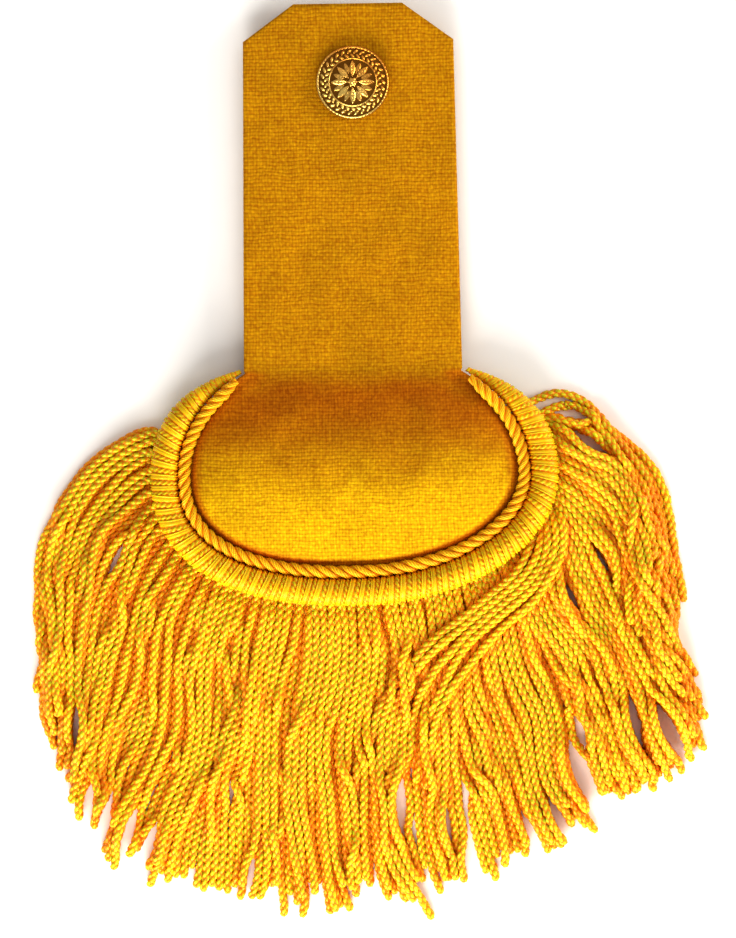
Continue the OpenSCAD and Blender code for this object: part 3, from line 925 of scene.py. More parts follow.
def build_wound_cover(outline, sizes):
    """Smooth satin thread and thin twisted thread wound side by side."""
    rng = np.random.default_rng(8)
    full_r, end_r = sizes.diameter / 2, 0.55
    wraps = int(outline.length / sizes.pitch)
    places = np.concatenate([SATIN[:, 0] * SATIN_WIDTH, SATIN_WIDTH + THIN[:, 0] * (1 - SATIN_WIDTH)])
    across = len(places)
    wrap = np.repeat(np.arange(wraps), across)
    place = np.tile(places, wraps)
    height = np.tile(np.concatenate([SATIN[:, 1], THIN[:, 1]]), wraps)[:, None]
    satin = np.tile(np.arange(across) < len(SATIN), wraps)[:, None]
    end_in, jitter_size, swell_size, slant_size, tone_size = 1.0, 0.07, 0.10, 0.25, 0.05
    step = (outline.length - 2 * end_in) / wraps
    jitter = rng.normal(0, jitter_size, wraps + 1)
    run = end_in + (wrap + place + mix(jitter[wrap], jitter[wrap + 1], place)) * step
    near = np.clip(np.minimum(run, outline.length - run), 0.05, None)
    full = np.sin(math.pi / 2 * np.minimum(1, near / sizes.taper)) ** 1.15
    radius = mix(end_r, full_r, full)
    angle = np.linspace(0, 2 * math.pi, sizes.around, endpoint=False)[None]
    end_groove, full_groove = 0.12, 0.78
    groove = mix(end_groove, full_groove, full)[:, None]
    swell = 1 + rng.normal(0, swell_size, wraps)[wrap]
    # The thin thread is twisted, so that it rises and falls along its own length
    bead_length, bead_lean, bead_height = 1.75, 14, 0.34
    turn = angle * radius[:, None] * 2 * math.pi / bead_length + (place[:, None] - SATIN_WIDTH) * bead_lean
    bead = np.cos(turn + rng.uniform(0, 6.28, wraps)[wrap][:, None])
    lift = np.where(satin, 0.0, bead_height * bead) * (height > 0.1)
    filled = height * np.minimum(swell, 1.08)[:, None]
    size = radius[:, None] - groove * (1 - filled) + groove * lift
    uneven = (1 + slant_size * rng.normal(0, 1, wraps)[wrap])[:, None]
    slant = -math.tan(sizes.lean) * radius[:, None] * np.cos(angle) * uneven
    runs = np.clip(run[:, None] + slant * 0.9, 0.2, outline.length - 0.2)
    z = ROLL_UNDER + full_r - 0.6 * (full_r - radius)
    ones = np.ones(runs.shape)
    points = ring_points(outline, runs, radius - 0.1, z, size, angle * ones)
    # Painted shade: the low parts between and within the wraps are marked for the deep orange
    raised = np.clip(height * 1.30 - 0.42, 0, 1.1) * ones + lift * 1.3
    # Painted shade: the crevice beside the cord gets the deep orange
    raised = raised * ease((np.cos(angle) + 1.02) / 0.30)
    tone = (1 + rng.normal(0, tone_size, wraps)[wrap])[:, None] * np.where(satin, 1.0, 0.93) * ones
    material = thread_material(
        "wound gimp", sizes.colour, sizes.colour_deep, count=1, slant=2.6, relief=0.05, rough=0.34)
    return new_tube("wound_cover", points, material, {"raised": raised, "tone": tone}, run)


# Fringe

# How the cords run at some places along the field's line: share of the line, direction at the roll in
# degrees, place of the tip from the strap's axis in mm, share of the fringe's length below the field, and
# direction at the tip
FALL = np.array([
    (0.12, 201, -86, 0.34, 281),
    (0.165, 209, -83, 0.51, 272),
    (0.21, 221, -79, 0.65, 265),
    (0.28, 240, -70, 0.77, 254),
    (0.32, 247, -61, 0.85, 254),
    (0.36, 255, -51, 0.955, 256),
    (0.48, 268, -7, 1.00, 269),
    (0.58, 277, 26, 0.97, 277),
    (0.61, 281, 35, 0.965, 283),
    (0.67, 290, 55, 0.80, 294),
    (0.73, 303, 75, 0.67, 303),
    (0.79, 315, 92, 0.54, 305),
    (0.83, 322, 95, 0.44, 303),
    (0.865, 327, 89, 0.25, 292),
    (0.895, 333, 81, 0.25, 281),
])
# Openings where the ground shows between cords: place from the strap's axis and along the strap, half
# length and half width
OPENINGS = np.array([
    (56.5, 14.4, 3.2, 0.9), (61.6, 11.5, 3.6, 1.2), (66.9, 4.0, 7.0, 1.2), (70.4, -29.7, 5, 0.8),
    (61.4, -40.1, 5.5, 0.8), (-68.8, -27.6, 5.5, 0.7), (-80.8, -75.0, 7.5, 1.0), (11.8, -99.5, 8.4, 1.4),
    (64.3, -92.0, 11.6, 2.4), (63.7, -79.4, 4.5, 1.2), (79.4, -76.3, 9.5, 1.5), (93.2, -52.2, 5, 1.1),
    (25.4, -105.6, 6, 0.6), (-77.4, -98.4, 8, 1.6), (-72.9, -102.5, 9, 1.6), (-66.4, -106.3, 8, 1.5),
    (-61.0, -110.6, 8, 1.5), (89.0, -79.0, 10, 2.2), (57.3, -104.4, 8, 1.3), (49.8, -108.9, 7, 1.0),
    (-31.5, -119.0, 6, 0.8), (31.2, -118.3, 6, 0.9),
])
# Cords of the top layer that were combed across the others: places from the strap's axis and along the strap
SWEEP = [
    (54.1, -15.8), (56.0, -21.2), (55.1, -27.5), (51.8, -33.7), (46.6, -39.3), (40.3, -44.3), (33.9, -49.4),
    (27.9, -54.4), (22.9, -60.0), (19.1, -66.8), (15.9, -75.3), (12.9, -86.1), (10.7, -97.5),
]
# Loose cords that arch out at the upper right
LOOSE = [
    [(49.1, 14.8), (52.6, 16.2), (55.4, 17.3), (58.9, 17.7), (62.3, 16.6), (65.4, 14.3), (67.9, 11.1),
     (70.1, 7.9), (72.9, 5.0), (76.3, 1.3), (79.6, -3.9), (82.1, -10.2), (83.4, -15.9), (84.5, -21.6),
     (85.6, -28), (87, -36)],
    [(49.6, 10.2), (53.4, 11.0), (55.9, 12.7), (58.2, 14.4), (61.1, 14.6), (63.6, 13.2), (65.6, 10.6),
     (67.8, 7.1), (70.6, 3.1), (74.0, -1.5), (76.7, -7.3), (78.6, -13.0), (80.0, -18.7), (81.0, -24.4),
     (82, -32), (83.5, -41)],
    [(50.2, 9.1), (54.8, 9.9), (58.8, 10.1), (63.0, 9.8), (67.3, 8.8), (71.0, 6.8), (74.1, 4.5), (77.4, 1.6),
     (80.5, -2.5), (82.7, -7.4), (84.1, -12.5), (85.4, -17.7), (86.8, -22.8), (88.4, -28.0), (89.6, -35),
     (90.4, -43)],
    [(50.7, 7.9), (54.7, 7.9), (58.7, 6.1), (62.9, 2.6), (67.1, -0.6), (71.1, -4.3), (74.7, -8.4),
     (77.8, -13.0), (80.0, -18.1), (81.9, -23.9), (83.8, -30.2), (85.4, -36.5), (87.2, -45)],
    [(50.7, 4.5), (55.2, 3.6), (59.2, 1.5), (63.1, -1.4), (67.1, -4.3), (70.7, -7.7), (73.8, -12.1),
     (76.6, -17.2), (78.8, -23.2), (80.9, -30.1), (82.6, -37.0), (84.4, -46)],
]


def smooth_line(points, pieces):
    """A smooth line through the given points, with so many pieces from each to the next."""
    points = np.asarray(points, float)
    p = np.concatenate([[2 * points[0] - points[1]], points, [2 * points[-1] - points[-2]]])
    t = np.linspace(0, 1, pieces, endpoint=False)[None, :, None]
    a, b, c, d = (p[k: len(p) - 3 + k, None] for k in range(4))
    square, cube = 2 * a - 5 * b + 4 * c - d, 3 * b - a - 3 * c + d
    fine = 0.5 * (2 * b + (c - a) * t + square * t ** 2 + cube * t ** 3)
    return np.concatenate([fine.reshape(-1, points.shape[1]), points[-1:]])


def even(line, count):
    """The same line with this many points at equal spacing."""
    gone = np.concatenate([[0], np.cumsum(np.linalg.norm(np.diff(line, axis=0), axis=1))])
    at = np.linspace(0, gone[-1], count)
    return np.stack([np.interp(at, gone, line[:, k]) for k in range(line.shape[1])], -1)


def fall_path(outline, sizes, share):
    """The combed path of a cord from the heading to its tip, as points at equal spacing."""
    lead, tip_x, tip_drop, tip_dir = (float(np.interp(share, FALL[:, 0], FALL[:, k])) for k in (1, 2, 3, 4))
    root_out, start_out, reach_share = 5.0, 9.5, 0.45
    t = outline.angle(share * outline.length)
    start = outline.point(t, start_out)
    tip = np.array([AXIS_X + tip_x, outline.edge_y - sizes.length * tip_drop])
    reach = reach_share * np.linalg.norm(tip - start)
    lead, tip_dir = math.radians(lead), math.radians(tip_dir)
    a = start + reach * np.array([math.cos(lead), math.sin(lead)])
    b = tip - reach * np.array([math.cos(tip_dir), math.sin(tip_dir)])
    v = np.linspace(0, 1, 60)[:, None]
    curve = (1 - v) ** 3 * start + 3 * (1 - v) ** 2 * v * a + 3 * (1 - v) * v * v * b + v ** 3 * tip
    return np.concatenate([[outline.point(t, root_out)], curve])


def longer(path):
    """The same path, carried on straight at its end by a tenth of its points."""
    count = len(path) // 10
    ahead = path[-1] - path[-2]
    return np.concatenate([path, path[-1] + ahead * np.arange(1, count + 1)[:, None]])


def normals(path):
    """Sideways direction at each point of a path in the plane."""
    ahead = unit(np.gradient(path, axis=0))
    return np.stack([-ahead[:, 1], ahead[:, 0]], -1)


# An opening acts this far past its ends, and on cords up to this far across its middle, in mm
OPENING_PAST = 2.5
OPENING_DEEP = 1.8


def find_openings(paths):
    """Openings that follow the cords round them: middle, direction, half length, half width, and for each
    cord the side on which it passes, or 0 if it runs across."""
    around, least = 7, 20
    ahead = unit(np.gradient(paths[:, :, :2], axis=1))
    found = []
    for x, y, reach, wide in OPENINGS:
        middle = np.array([AXIS_X + x, y])
        off = paths[:, :, :2] - middle
        far = np.hypot(off[..., 0], off[..., 1])
        turn = unit(ahead[far <= max(around, np.partition(far.ravel(), least)[least])].mean(0))
        beside = off[..., 1] * turn[0] - off[..., 0] * turn[1]
        side = np.where(beside[np.arange(len(paths)), far.argmin(1)] < 0, -1.0, 1.0)
        near = np.abs(off @ turn) < reach + OPENING_PAST
        across = (near & (beside * side[:, None] < -OPENING_DEEP)).any(1)
        found.append((middle, turn, reach, wide, np.where(across, 0.0, side)))
    return found


def keep_open(paths, openings, radius):
    """Moves the points in an opening out to the side on which their cord passes."""
    for middle, turn, reach, wide, side in openings:
        off = paths[:, :, :2] - middle
        ahead = off @ turn / (reach + OPENING_PAST)
        beside = (off[..., 1] * turn[0] - off[..., 0] * turn[1]) * side[:, None]
        want = (wide + radius) * np.clip(1 - ahead ** 2, 0, None)
        inside = (np.abs(ahead) < 1) & (beside > -OPENING_DEEP)
        push = np.where(inside, np.maximum(want - beside, 0), 0) * side[:, None]
        paths[:, :, 0] -= push * turn[1]
        paths[:, :, 1] += push * turn[0]


def first_paths(outline, sizes):
    """Every cord's path before it settles, as an array of cords, points and coordinates."""
    rng = np.random.default_rng(sizes.seed)
    nodes = sizes.nodes
    paths = []
    v = np.linspace(0, 1, nodes)
    # The cords of a layer sink a little between those below
    sunk = 0.88
    z_step = 2 * sizes.radius * sizes.flat * sunk
    low, high = FALL[0, 0] + 0.014, FALL[-1, 0] - 0.016
    # The cords of all layers hang in the same bundles, each with its own drift, length and height
    narrow, broad, most = 0.018, 0.045, 60
    edges = np.cumsum([low, *rng.uniform(narrow, broad, most)])
    bundles = int(np.searchsorted(edges, high))
    middles = np.minimum((edges[:-1] + edges[1:]) / 2, high)[:bundles]
    # Those near the two ends of the fringe drift less
    calm_run = 0.12
    calm = ease(np.minimum(middles - low, high - middles) / calm_run)
    swings = [(rng.uniform(-5, 5), rng.uniform(0.5, 1.3), rng.uniform(0, 6.28)) for _ in range(4)]
    drift = [(sum(0.9 * np.sin(2 * math.pi * (a * m + b * v) + c) for a, b, c in swings)
              + mix(0.5, 2.3, quiet) * waves(rng, v, 0.7)) * ease(v / 0.5) for m, quiet in zip(middles, calm)]
    length_change, rise_most = 0.018, 1.6
    lengths = rng.normal(0, length_change, bundles)
    rises = rng.uniform(-rise_most, rise_most, bundles)
    # How far the cords of a bundle are drawn to its middle
    together = 0.30
    # The cords stand closer on the right, where they fan out most
    right_from, right_run, right_crowd = 0.64, 0.12, 2.1
    line = np.linspace(low, high, 200)
    crowd = np.cumsum(mix(1.0, right_crowd, ease((line - right_from) / right_run)))
    crowd -= crowd[0]
    share_change, bend_size, stray_size = 0.0025, 0.8, 2.6
    stray_chance, long_chance, longer_by, longest_at = 0.08, 0.15, 0.045, 0.48
    for layer in range(sizes.layers):
        offset = (layer % 2 - 0.5) * 0.5 * (high - low) / sizes.cords
        shares = np.interp(np.linspace(0, 1, sizes.cords), crowd / crowd[-1], line)
        shares = shares + offset + rng.normal(0, share_change, sizes.cords)
        for share in np.clip(shares, low, high):
            g = min(int(np.searchsorted(edges, share, "right")) - 1, bundles - 1)
            base = even(fall_path(outline, sizes, share), nodes)
            pulled = even(fall_path(outline, sizes, mix(share, middles[g], together)), nodes)
            path = mix(base, pulled, ease(v * 1.4)[:, None])
            bends = bend_size * waves(rng, v, 0.5)
            stray = rng.uniform() < stray_chance
            if stray:
                bends = bends + stray_size * waves(rng, v, 0.9)
            path = path + (drift[g] + bends * ease(v / 0.3))[:, None] * normals(path)
            stop = rng.uniform(0.93, 1.02) + lengths[g] + longer_by * (rng.uniform() < long_chance)
            # At its longest place, the lowest layer keeps the fringe's full length
            if layer == 0 and abs(share - longest_at) < 0.02:
                stop = 1.0
            path = even(longer(path)[: int(nodes * stop)], nodes)
            z = 1.1 + z_step * layer + rises[g] + rng.uniform(-1.0, 1.0) + 1.4 * stray
            z = mix(1.0 + 0.9 * layer, z, ease(v / 0.08))
            paths.append(np.column_stack([path, z]))
    # A few cords combed across the others, which sink in between them towards their tips
    swept = 5
    sweep = even(smooth_line(SWEEP, 12), nodes) + [AXIS_X, 0]
    side = normals(sweep)
    for k in range(swept):
        spacing = mix(1.9, 4.2, ease((v - 0.2) / 0.6))
        off = (k - swept // 2) * spacing + 1.4 * waves(rng, v, 0.5) * ease(v / 0.2)
        path = sweep + off[:, None] * side
        path = even(path[: int(nodes * rng.uniform(0.9, 1.0))], nodes)
        z = mix(3.0, 6.6 + 0.7 * (k % 3), ease(v / 0.09)) - 3.0 * ease((v - 0.42) / 0.5)
        paths.append(np.column_stack([path, z]))
    for k, loose in enumerate(LOOSE):
        path = even(smooth_line(loose, 12), nodes) + [AXIS_X, 0]
        z = mix(2.5, 4.5 + 0.8 * (k % 2), ease(v / 0.1))
        paths.append(np.column_stack([path, z]))
    paths = np.array(paths)
    keep_open(paths, find_openings(paths), sizes.radius)
    return paths


def near_pairs(points, cord_of, reach):
    """Pairs of points of different cords that lie nearer than reach, through a grid of cells."""
    cell = np.floor(points / reach).astype(np.int64)
    cell -= cell.min(0) - 1
    span = cell.max(0) + 2
    key = (cell[:, 0] * span[1] + cell[:, 1]) * span[2] + cell[:, 2]
    order = np.argsort(key, kind="stable")
    sorted_key = key[order]
    firsts, seconds = [], []
    # The cell itself and half of those round it, so that each pair is found once
    for x, y, z in [step for step in itertools.product((-1, 0, 1), repeat=3) if step >= (0, 0, 0)]:
        other = sorted_key + (x * span[1] + y) * span[2] + z
        begin = np.searchsorted(sorted_key, other, "left")
        count = np.searchsorted(sorted_key, other, "right") - begin
        a = np.repeat(np.arange(len(points)), count)
        b = np.repeat(begin - (np.cumsum(count) - count), count) + np.arange(count.sum())
        if (x, y, z) == (0, 0, 0):
            a, b = a[a < b], b[a < b]
        firsts.append(order[a])
        seconds.append(order[b])
    a, b = np.concatenate(firsts), np.concatenate(seconds)
    close = ((points[a] - points[b]) ** 2).sum(1) < reach ** 2
    a, b = a[close], b[close]
    other = cord_of[a] != cord_of[b]
    return a[other], b[other]


def settle(paths, sizes, outline):
    """Lets the cords fall on each other, on the ground and beside the roll."""
    cords, nodes = paths.shape[:2]
    place = paths.copy()
    home = paths[:, :, :2].copy()
    # The plies of cords that touch lie partly in each other's grooves
    radius = sizes.radius * 0.83
    flat_z = np.array([1, 1, 1 / sizes.flat])
    ground = radius * sizes.flat
    # Thin where the cords leave their heading
    along = np.linalg.norm(np.diff(home, axis=1), axis=2).cumsum(1)
    along = np.concatenate([np.zeros((cords, 1)), along], 1)
    thick = np.clip((along - 1.5) / 6, 0.25, 1).ravel()
    cord_of = np.repeat(np.arange(cords), nodes)
    roll_r = bpy.context.scene.epaulette_roll.diameter / 2
    roll_z = ROLL_UNDER + roll_r
    # Points of each cord that may touch the roll
    first = 14
    line_t = outline.angle(np.linspace(0, outline.length, 260))
    line, away = outline.point(line_t), outline.outward(line_t)
    openings = find_openings(home)
    drop, late_drop, late = 0.10, 0.03, 0.75
    stiff, stiff_tip, stiff_z, stiff_tip_z = 0.7, 0.7, 0.45, 0.4
    keep, looking, calm, roll_push = 0.985, 0.7, 0.55, 0.6
    steps = sizes.steps
    for step in range(steps):
        place[:, 1:, 2] -= drop if step < steps * late else late_drop
        # Cords bend little, and are drawn back to their combed path
        moved = place[:, :, :2] - home
        middle = (moved[:, :-2] + moved[:, 2:]) / 2
        moved[:, 1:-1] = mix(moved[:, 1:-1], middle, stiff)
        moved[:, -1] = mix(moved[:, -1], moved[:, -2], stiff_tip)
        place[:, :, :2] = home + moved * keep
        z = place[:, :, 2]
        z[:, 1:-1] = mix(z[:, 1:-1], (z[:, :-2] + z[:, 2:]) / 2, stiff_z)
        z[:, -1] = mix(z[:, -1], z[:, -2], stiff_tip_z)
        # Clear of each other
        flat = place.reshape(-1, 3)
        if step % 4 == 0:
            a, b = near_pairs(flat * flat_z, cord_of, 2 * radius + looking)
        for _ in range(2):
            gap = (flat[b] - flat[a]) * flat_z
            apart = np.sqrt((gap ** 2).sum(1)) + 1e-6
            want = radius * (thick[a] + thick[b])
            push = np.maximum(want - apart, 0) / apart * 0.5
            shift = np.zeros_like(flat)
            count = np.bincount(a, push > 0, len(flat)) + np.bincount(b, push > 0, len(flat))
            for k in range(3):
                part = gap[:, k] * push
                shift[:, k] = np.bincount(b, part, len(flat)) - np.bincount(a, part, len(flat))
            flat += shift / flat_z / np.maximum(1, count * calm)[:, None]
        place = flat.reshape(cords, nodes, 3)
        if step % 2 == 0:
            keep_open(place, openings, sizes.radius)
        place[:, :, 2] = np.maximum(place[:, :, 2], ground)
        # Clear of the roll
        start = place[:, :first].reshape(-1, 3)
        if step % 10 == 0:
            nearest = ((start[:, None, :2] - line[None]) ** 2).sum(2).argmin(1)
        out = ((start[:, :2] - line[nearest]) * away[nearest]).sum(1) - (roll_r - 0.1)
        up = start[:, 2] - roll_z
        apart = np.hypot(out, up) + 1e-6
        clear = roll_r + radius
        push = np.where((apart < clear) & (out > -1), clear - apart, 0) * roll_push
        start[:, :2] += (push * out / apart)[:, None] * away[nearest]
        start[:, 2] += push * up / apart
        place[:, :first] = start.reshape(cords, first, 3)
        place[:, :2] = paths[:, :2]
        place[:, :, 2] = np.maximum(place[:, :, 2], ground)
    return place


def covered(paths):
    """How much of each point lies under other cords, from 0 to 1."""
    cords, nodes = paths.shape[:2]
    flat = paths.reshape(-1, 3)
    reach, wide, hidden_by = 4.2, 3.4, 3.0
    a, b = near_pairs(flat, np.repeat(np.arange(cords), nodes), reach)
    rise = flat[b, 2] - flat[a, 2]
    aside = np.hypot(*(flat[b, :2] - flat[a, :2]).T)
    over = ease((np.abs(rise) - 0.5) / 1.2) * ease((wide - aside) / 1.6)
    up = rise > 0
    total = np.bincount(a[up], over[up], len(flat)) + np.bincount(b[~up], over[~up], len(flat))
    cover = np.clip(total / hidden_by, 0, 1).reshape(cords, nodes)
    for _ in range(2):
        cover[:, 1:-1] = (cover[:, :-2] + cover[:, 1:-1] * 2 + cover[:, 2:]) / 4
    return cover


def twisted_cords(name, paths, covers, sizes, rng):
    """One mesh of many cords, each of three twisted plies."""
    plies, per_ply, per_lay = 3, 3, 10
    sides = plies * per_ply
    local = np.arange(sides) / sides * 2 * math.pi
    full, _ = ply_radius(local - math.pi / plies, plies, 1.0)
    groove, lay_change, tone_change, floor_z = 0.62, 0.04, 0.05, 0.02
    shape = mix(groove, 1.0, (full - full.min()) / (1 - full.min()))
    points, quads, ends, uv_quads, uv_ends, tones, cover_values = [], [], [], [], [], [], []
    first = 0
    for path, cover in zip(paths, covers):
        smooth = smooth_line(path, 4)
        length = np.linalg.norm(np.diff(smooth, axis=0), axis=1).sum()
        lay = plies * sizes.stitch * (1 + rng.normal(0, lay_change))
        rings = int(per_lay * length / lay) + 1
        line = even(smooth, rings)
        ahead = unit(np.gradient(line, axis=0))
        side = unit(np.cross(ahead, [0, 0, 1.0]))
        up = np.cross(side, ahead)
        along = np.linspace(0, length, rings)
        twist = rng.uniform(0, 2 * math.pi) - 2 * math.pi * along / lay + 0.35 * waves(rng, along, 26)
        size = sizes.radius * shape[None] * (1 + 0.05 * waves(rng, along, 9))[:, None]
        # The last rings close to a blunt tip
        left = np.arange(rings)[::-1]
        size = size * np.sqrt(1 - (1 - np.minimum(left / 2, 1)) ** 2 * 0.75)[:, None]
        a = local[None] + twist[:, None]
        ring = (line[:, None] + (size * np.cos(a))[..., None] * side[:, None]
                + (size * sizes.flat * np.sin(a))[..., None] * up[:, None])
        ring[..., 2] = np.maximum(ring[..., 2], floor_z)
        at_ring = np.interp(np.linspace(0, 1, rings), np.linspace(0, 1, len(cover)), cover)
        # Painted shade: the sides and underside of a cord, like the parts under other cords, are marked for
        # the deep orange
        open_side = (1 - at_ring[:, None]) * ease((np.sin(a) + 0.25) / 0.9)
        tone = np.full(rings * sides, 1 + rng.normal(0, tone_change))
        made = (ring.reshape(-1, 3), *tube_faces(rings, sides, first),
                *tube_uv(rings, sides, along / sizes.stitch), tone, (1 - open_side).ravel())
        for kept, part in zip((points, quads, ends, uv_quads, uv_ends, tones, cover_values), made):
            kept.append(part)
        first += rings * sides
    return new_piece(
        name, np.concatenate(points), [np.concatenate(quads), np.concatenate(ends)], fringe_material(sizes),
        {"tone": np.concatenate(tones), "cover": np.concatenate(cover_values)},
        np.concatenate([*uv_quads, *uv_ends]))


def build_heading(outline):
    """The woven band under the roll that the cords are sewn to."""
    first, last, rings = 0.11, 0.905, 260
    run = np.linspace(first * outline.length, last * outline.length, rings)
    # How far out from the line, and height
    section = np.array([(-0.3, 0.4), (0.5, 0.15), (3.0, 0.1), (5.6, 0.15), (6.2, 0.6), (6.2, 2.4), (5.6, 3.0),
                        (3.0, 3.2), (0.5, 3.1), (-0.3, 2.8)])
    out, z = (value[None] * np.ones((rings, 1)) for value in section.T)
    xy = outline.point(outline.angle(run)[:, None] * np.ones(len(section)), out)
    points = np.concatenate([xy, z[..., None]], -1)
    faces = tube_faces(rings, len(section))
    return new_piece("fringe_heading", points.reshape(-1, 3), faces, cloth_material())


# Button

def button_height(r, angle, sizes):
    """Height of the button's face above its foot, and how far each place stands out, from 0 to 1."""
    button_r = sizes.diameter / 2
    dome_height, dome_bend = 2.6, 104
    dome = dome_height - r ** 2 / dome_bend

    def band(middle, width, height):
        return height * np.clip(1 - ((r - middle) / (width / 2)) ** 2, 0, 1) ** 0.6

    def aside(number, shift):
        """Distance round the button from the nearest of so many equal places."""
        return ((angle / (2 * math.pi / number) + shift) % 1 - 0.5) * 2 * math.pi / number * r

    relief = band(6.75, 0.5, 0.34)
    # A border of two rows of small leaves that lean apart
    for middle, slant, shift in ((7.55, 0.6, 0.0), (8.75, -0.6, 0.5)):
        beside = aside(30, shift) - slant * (r - middle)
        leaf = np.hypot((r - middle) / 0.68, beside / 0.52)
        relief = np.maximum(relief, 0.42 * np.sqrt(np.clip(1 - leaf ** 2, 0, 1)))
    # Eight leaves with a vein, and a small pointed one behind each two
    for start, end, width, height, shift in ((1.5, 6.2, 1.9, 0.50, 0.5), (2.6, 5.9, 1.5, 0.30, 1.0)):
        side = np.abs(aside(8, shift))
        share = np.clip((r - start) / (end - start), 0, 1)
        half = width / 2 * np.sin(math.pi * share) ** 0.8 + 1e-3
        across = np.clip(side / half, 0, 1)
        inside = (r > start) & (r < end)
        form = height * np.sqrt(1 - across ** 2) * (0.72 + 0.28 * np.clip(across / 0.22, 0, 1))
        ribs = 0.05 * np.cos(r * 6.5 + side * 7.0)
        relief = np.maximum(relief, np.where(inside, form + ribs * (1 - across), 0))
    # Middle boss with petals
    petals = 0.5 + 0.5 * np.cos(6 * angle)
    for height, reach in ((0.55, 1.15 + 0.35 * petals), (0.75, 0.7)):
        relief = np.maximum(relief, height * np.sqrt(np.clip(1 - (r / reach) ** 2, 0, 1)))
    # Roped rim
    rim = band(button_r - 0.40, 0.72, 0.45) * (0.86 + 0.14 * np.cos(60 * angle + 5 * (r - button_r)))
    relief = np.maximum(relief, rim)
    return dome + relief, np.clip(relief / 0.42, 0, 1)


def build_button(sizes):
    """Face with its relief, the rolled edge, the back, and the shank and post through the board."""
    foot = BOARD_UNDER + bpy.context.scene.epaulette_strap.thickness + GAP
    button_r, shank_r, post_r = sizes.diameter / 2, 2.0, 1.5
    around, side_raised = 288, 0.55
    radii = np.concatenate([
        np.linspace(0.12, button_r - 0.9, 82), np.linspace(button_r - 0.8, button_r - 0.15, 10)])
    angle = np.linspace(0, 2 * math.pi, around, endpoint=False)
    r, a = np.meshgrid(radii, angle, indexing="ij")
    height, raised = button_height(r, a, sizes)
    edge_z = float(height[-1].mean())
    # Radius and height of each ring from the face's edge to the end of the post
    lower = np.array([
        (button_r - 0.08, edge_z - 0.12), (button_r, edge_z - 0.4), (button_r, 0.75), (button_r - 0.1, 0.4),
        (button_r - 0.4, 0.1), (button_r - 0.9, 0.0), (shank_r + 1.2, 0.0), (shank_r + 0.3, -0.02),
        (shank_r, -0.25), (shank_r, -3.4), (shank_r - 0.1, -3.75), (post_r, -3.9), (post_r, -7.3),
        (post_r - 0.3, -7.5)])
    r = np.concatenate([r, lower[:, :1] * np.ones(around)])
    height = np.concatenate([height, lower[:, 1:] * np.ones(around)])
    raised = np.concatenate([raised, np.full((len(lower), around), side_raised)])
    mid_x, mid_y = BUTTON_MIDDLE
    points = np.stack([r * np.cos(angle) + mid_x, r * np.sin(angle) + mid_y, foot + height], -1)
    return new_tube("brass_button", points, brass_material(), {"raised": raised})


# Stage

def build_stage(sizes):
    """The camera above the face, a pale floor, four lamps and a soft light from all round."""
    scene = bpy.context.scene
    scene.view_settings.view_transform = "Standard"
    scene.view_settings.gamma = 0.8
    aim_x, aim_y, tilt = 3.85, -3.04, -0.86
    data = bpy.data.cameras.new("camera")
    data.sensor_fit = "VERTICAL"
    data.sensor_height = 24
    data.lens = data.sensor_height * sizes.distance / (sizes.view_height * MM)
    camera = bpy.data.objects.new("camera", data)
    camera.location = (
        (AXIS_X + aim_x) * MM, aim_y * MM, (BOARD_UNDER + BOARD_THICKNESS) * MM + sizes.distance)
    camera.rotation_euler = (0, 0, math.radians(tilt))
    scene.collection.objects.link(camera)
    scene.camera = camera
    half = 1.5
    corners = [(-half, -half, 0), (half, -half, 0), (half, half, 0), (-half, half, 0)]
    mesh = bpy.data.meshes.new("floor")
    mesh.from_pydata(corners, [], [(0, 1, 2, 3)])
    floor = bpy.data.objects.new("floor", mesh)
    scene.collection.objects.link(floor)
    material, tree, shader = new_material("pale floor", {"Roughness": 0.9})
    tone = mottled(tree, tree.place_mm(), 90.0, 0.03)
    tree.put(shader["Base Color"], tree.tinted((0.94, 0.94, 0.94, 1), tone))
    mesh.materials.append(material)
    lamps = [
        # name, place in m, width in m, power in W, colour
        ("key light", (-0.24, -0.85, 0.47), 0.60, sizes.key, (1.0, 0.98, 0.94)),
        ("low light", (0.10, -0.96, 0.25), 0.45, sizes.low, (1.0, 0.98, 0.94)),
        ("side light", (0.88, 0.12, 0.34), 0.5, sizes.side, (1.0, 0.97, 0.92)),
        ("fill light", (0.35, 0.55, 0.9), 0.9, sizes.fill, (1.0, 0.93, 0.85)),
    ]
    for name, place, width, power, colour in lamps:
        lamp = bpy.data.lights.new(name, "AREA")
        lamp.shape = "DISK"
        lamp.size = width
        lamp.energy = power
        lamp.color = colour
        thing = bpy.data.objects.new(name, lamp)
        thing.location = place
        back = unit(np.array(place))
        thing.rotation_euler = (math.acos(back[2]), 0, math.atan2(back[1], back[0]) + math.pi / 2)
        scene.collection.objects.link(thing)
    world = bpy.data.worlds.new("studio")
    world.use_nodes = True
    background = world.node_tree.nodes["Background"]
    background.inputs["Color"].default_value = (1.0, 0.96, 0.92, 1)
    background.inputs["Strength"].default_value = sizes.sky
    scene.world = world


# Operators

class EPAULETTE_OT_stage(Operator):
    """Set up the camera, the floor and the lights"""
    bl_idname = "epaulette.stage"
    bl_label = "Stage"

    def execute(self, context):
        build_stage(context.scene.epaulette_stage)
        return {"FINISHED"}


class EPAULETTE_OT_strap(Operator):
    """Make the cloth-covered strap with its padded field"""
    bl_idname = "epaulette.strap"
    bl_label = "Strap"

    def execute(self, context):
        piece = build_strap_cloth(FieldOutline(context.scene), context.scene.epaulette_strap)
        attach(piece, "root")
        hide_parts("strap")
        return {"FINISHED"}


class EPAULETTE_OT_cord(Operator):
    """Make the twisted cord round the field"""
    bl_idname = "epaulette.cord"
    bl_label = "Twisted cord"

    def execute(self, context):
        piece = build_edge_rope(FieldOutline(context.scene), context.scene.epaulette_cord)
        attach(piece, "root")
        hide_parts("edge_cord")
        return {"FINISHED"}


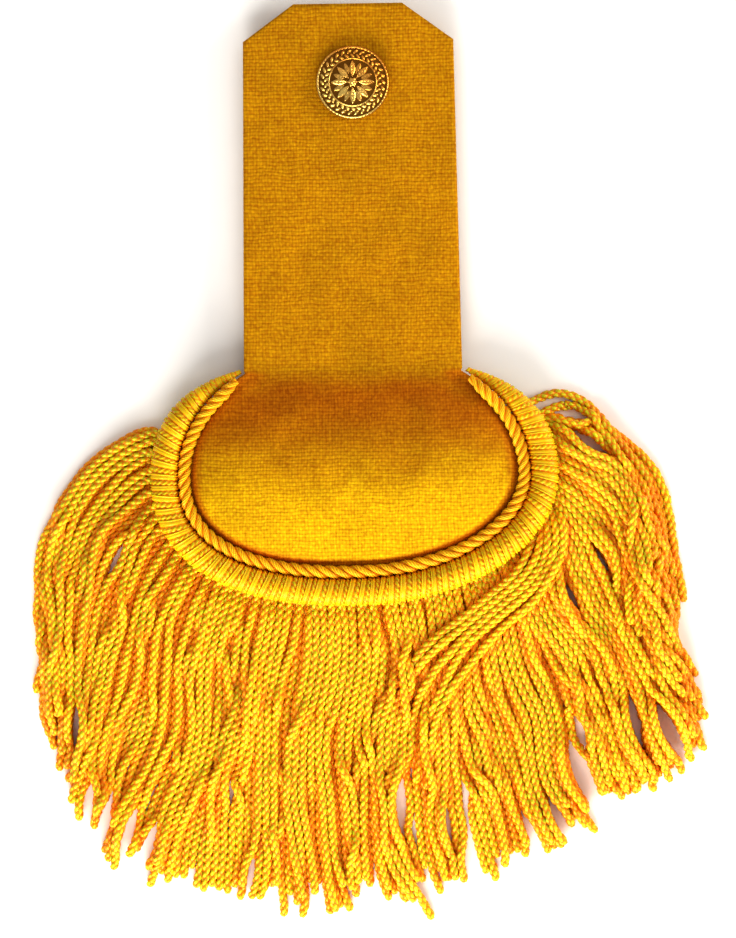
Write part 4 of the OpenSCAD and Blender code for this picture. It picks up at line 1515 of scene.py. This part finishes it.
class EPAULETTE_OT_roll(Operator):
    """Make the wound roll round the field"""
    bl_idname = "epaulette.roll"
    bl_label = "Wound roll"

    def execute(self, context):
        piece = build_wound_cover(FieldOutline(context.scene), context.scene.epaulette_roll)
        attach(piece, "root")
        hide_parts("wound_roll")
        return {"FINISHED"}


class EPAULETTE_OT_fringe(Operator):
    """Make the fringe of twisted cords and the heading that they hang from"""
    bl_idname = "epaulette.fringe"
    bl_label = "Fringe"

    def execute(self, context):
        sizes = context.scene.epaulette_fringe
        outline = FieldOutline(context.scene)
        paths = settle(first_paths(outline, sizes), sizes, outline)
        covers = covered(paths)
        rng = np.random.default_rng(sizes.seed + 1)
        parts = 5
        order = np.argsort(paths[:, 3, 0], kind="stable")
        for k, chosen in enumerate(np.array_split(order, parts)):
            piece = twisted_cords(f"fringe_cords_{k + 1}", paths[chosen], covers[chosen], sizes, rng)
            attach(piece, "root")
            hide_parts("fringe")
        heading = build_heading(outline)
        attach(heading, "root")
        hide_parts("fringe")
        return {"FINISHED"}


class EPAULETTE_OT_button(Operator):
    """Make the brass button with its post"""
    bl_idname = "epaulette.button"
    bl_label = "Button"

    def execute(self, context):
        piece = build_button(context.scene.epaulette_button)
        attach(piece, "root")
        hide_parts("button")
        return {"FINISHED"}


STEPS = (EPAULETTE_OT_stage, EPAULETTE_OT_strap, EPAULETTE_OT_cord, EPAULETTE_OT_roll, EPAULETTE_OT_fringe,
         EPAULETTE_OT_button)


class EPAULETTE_PT_panel(Panel):
    """The steps that build the epaulette"""
    bl_idname = "EPAULETTE_PT_panel"
    bl_label = "Epaulette"
    bl_space_type = "VIEW_3D"
    bl_region_type = "UI"
    bl_category = "Epaulette"

    def draw(self, context):
        for step in STEPS:
            self.layout.operator(step.bl_idname)


SETTINGS = {
    "epaulette_stage": StageSizes,
    "epaulette_strap": StrapSizes,
    "epaulette_field": FieldSizes,
    "epaulette_cord": CordSizes,
    "epaulette_roll": RollSizes,
    "epaulette_fringe": FringeSizes,
    "epaulette_button": ButtonSizes,
}


def register():
    for made in (*SETTINGS.values(), *STEPS, EPAULETTE_PT_panel):
        bpy.utils.register_class(made)
    for name, group in SETTINGS.items():
        setattr(bpy.types.Scene, name, PointerProperty(type=group))


def unregister():
    for name in SETTINGS:
        delattr(bpy.types.Scene, name)
    for made in reversed((*SETTINGS.values(), *STEPS, EPAULETTE_PT_panel)):
        bpy.utils.unregister_class(made)


def main():
    register()
    for step in STEPS:
        area, name = step.bl_idname.split(".")
        getattr(getattr(bpy.ops, area), name)()


if __name__ == "__main__":
    main()
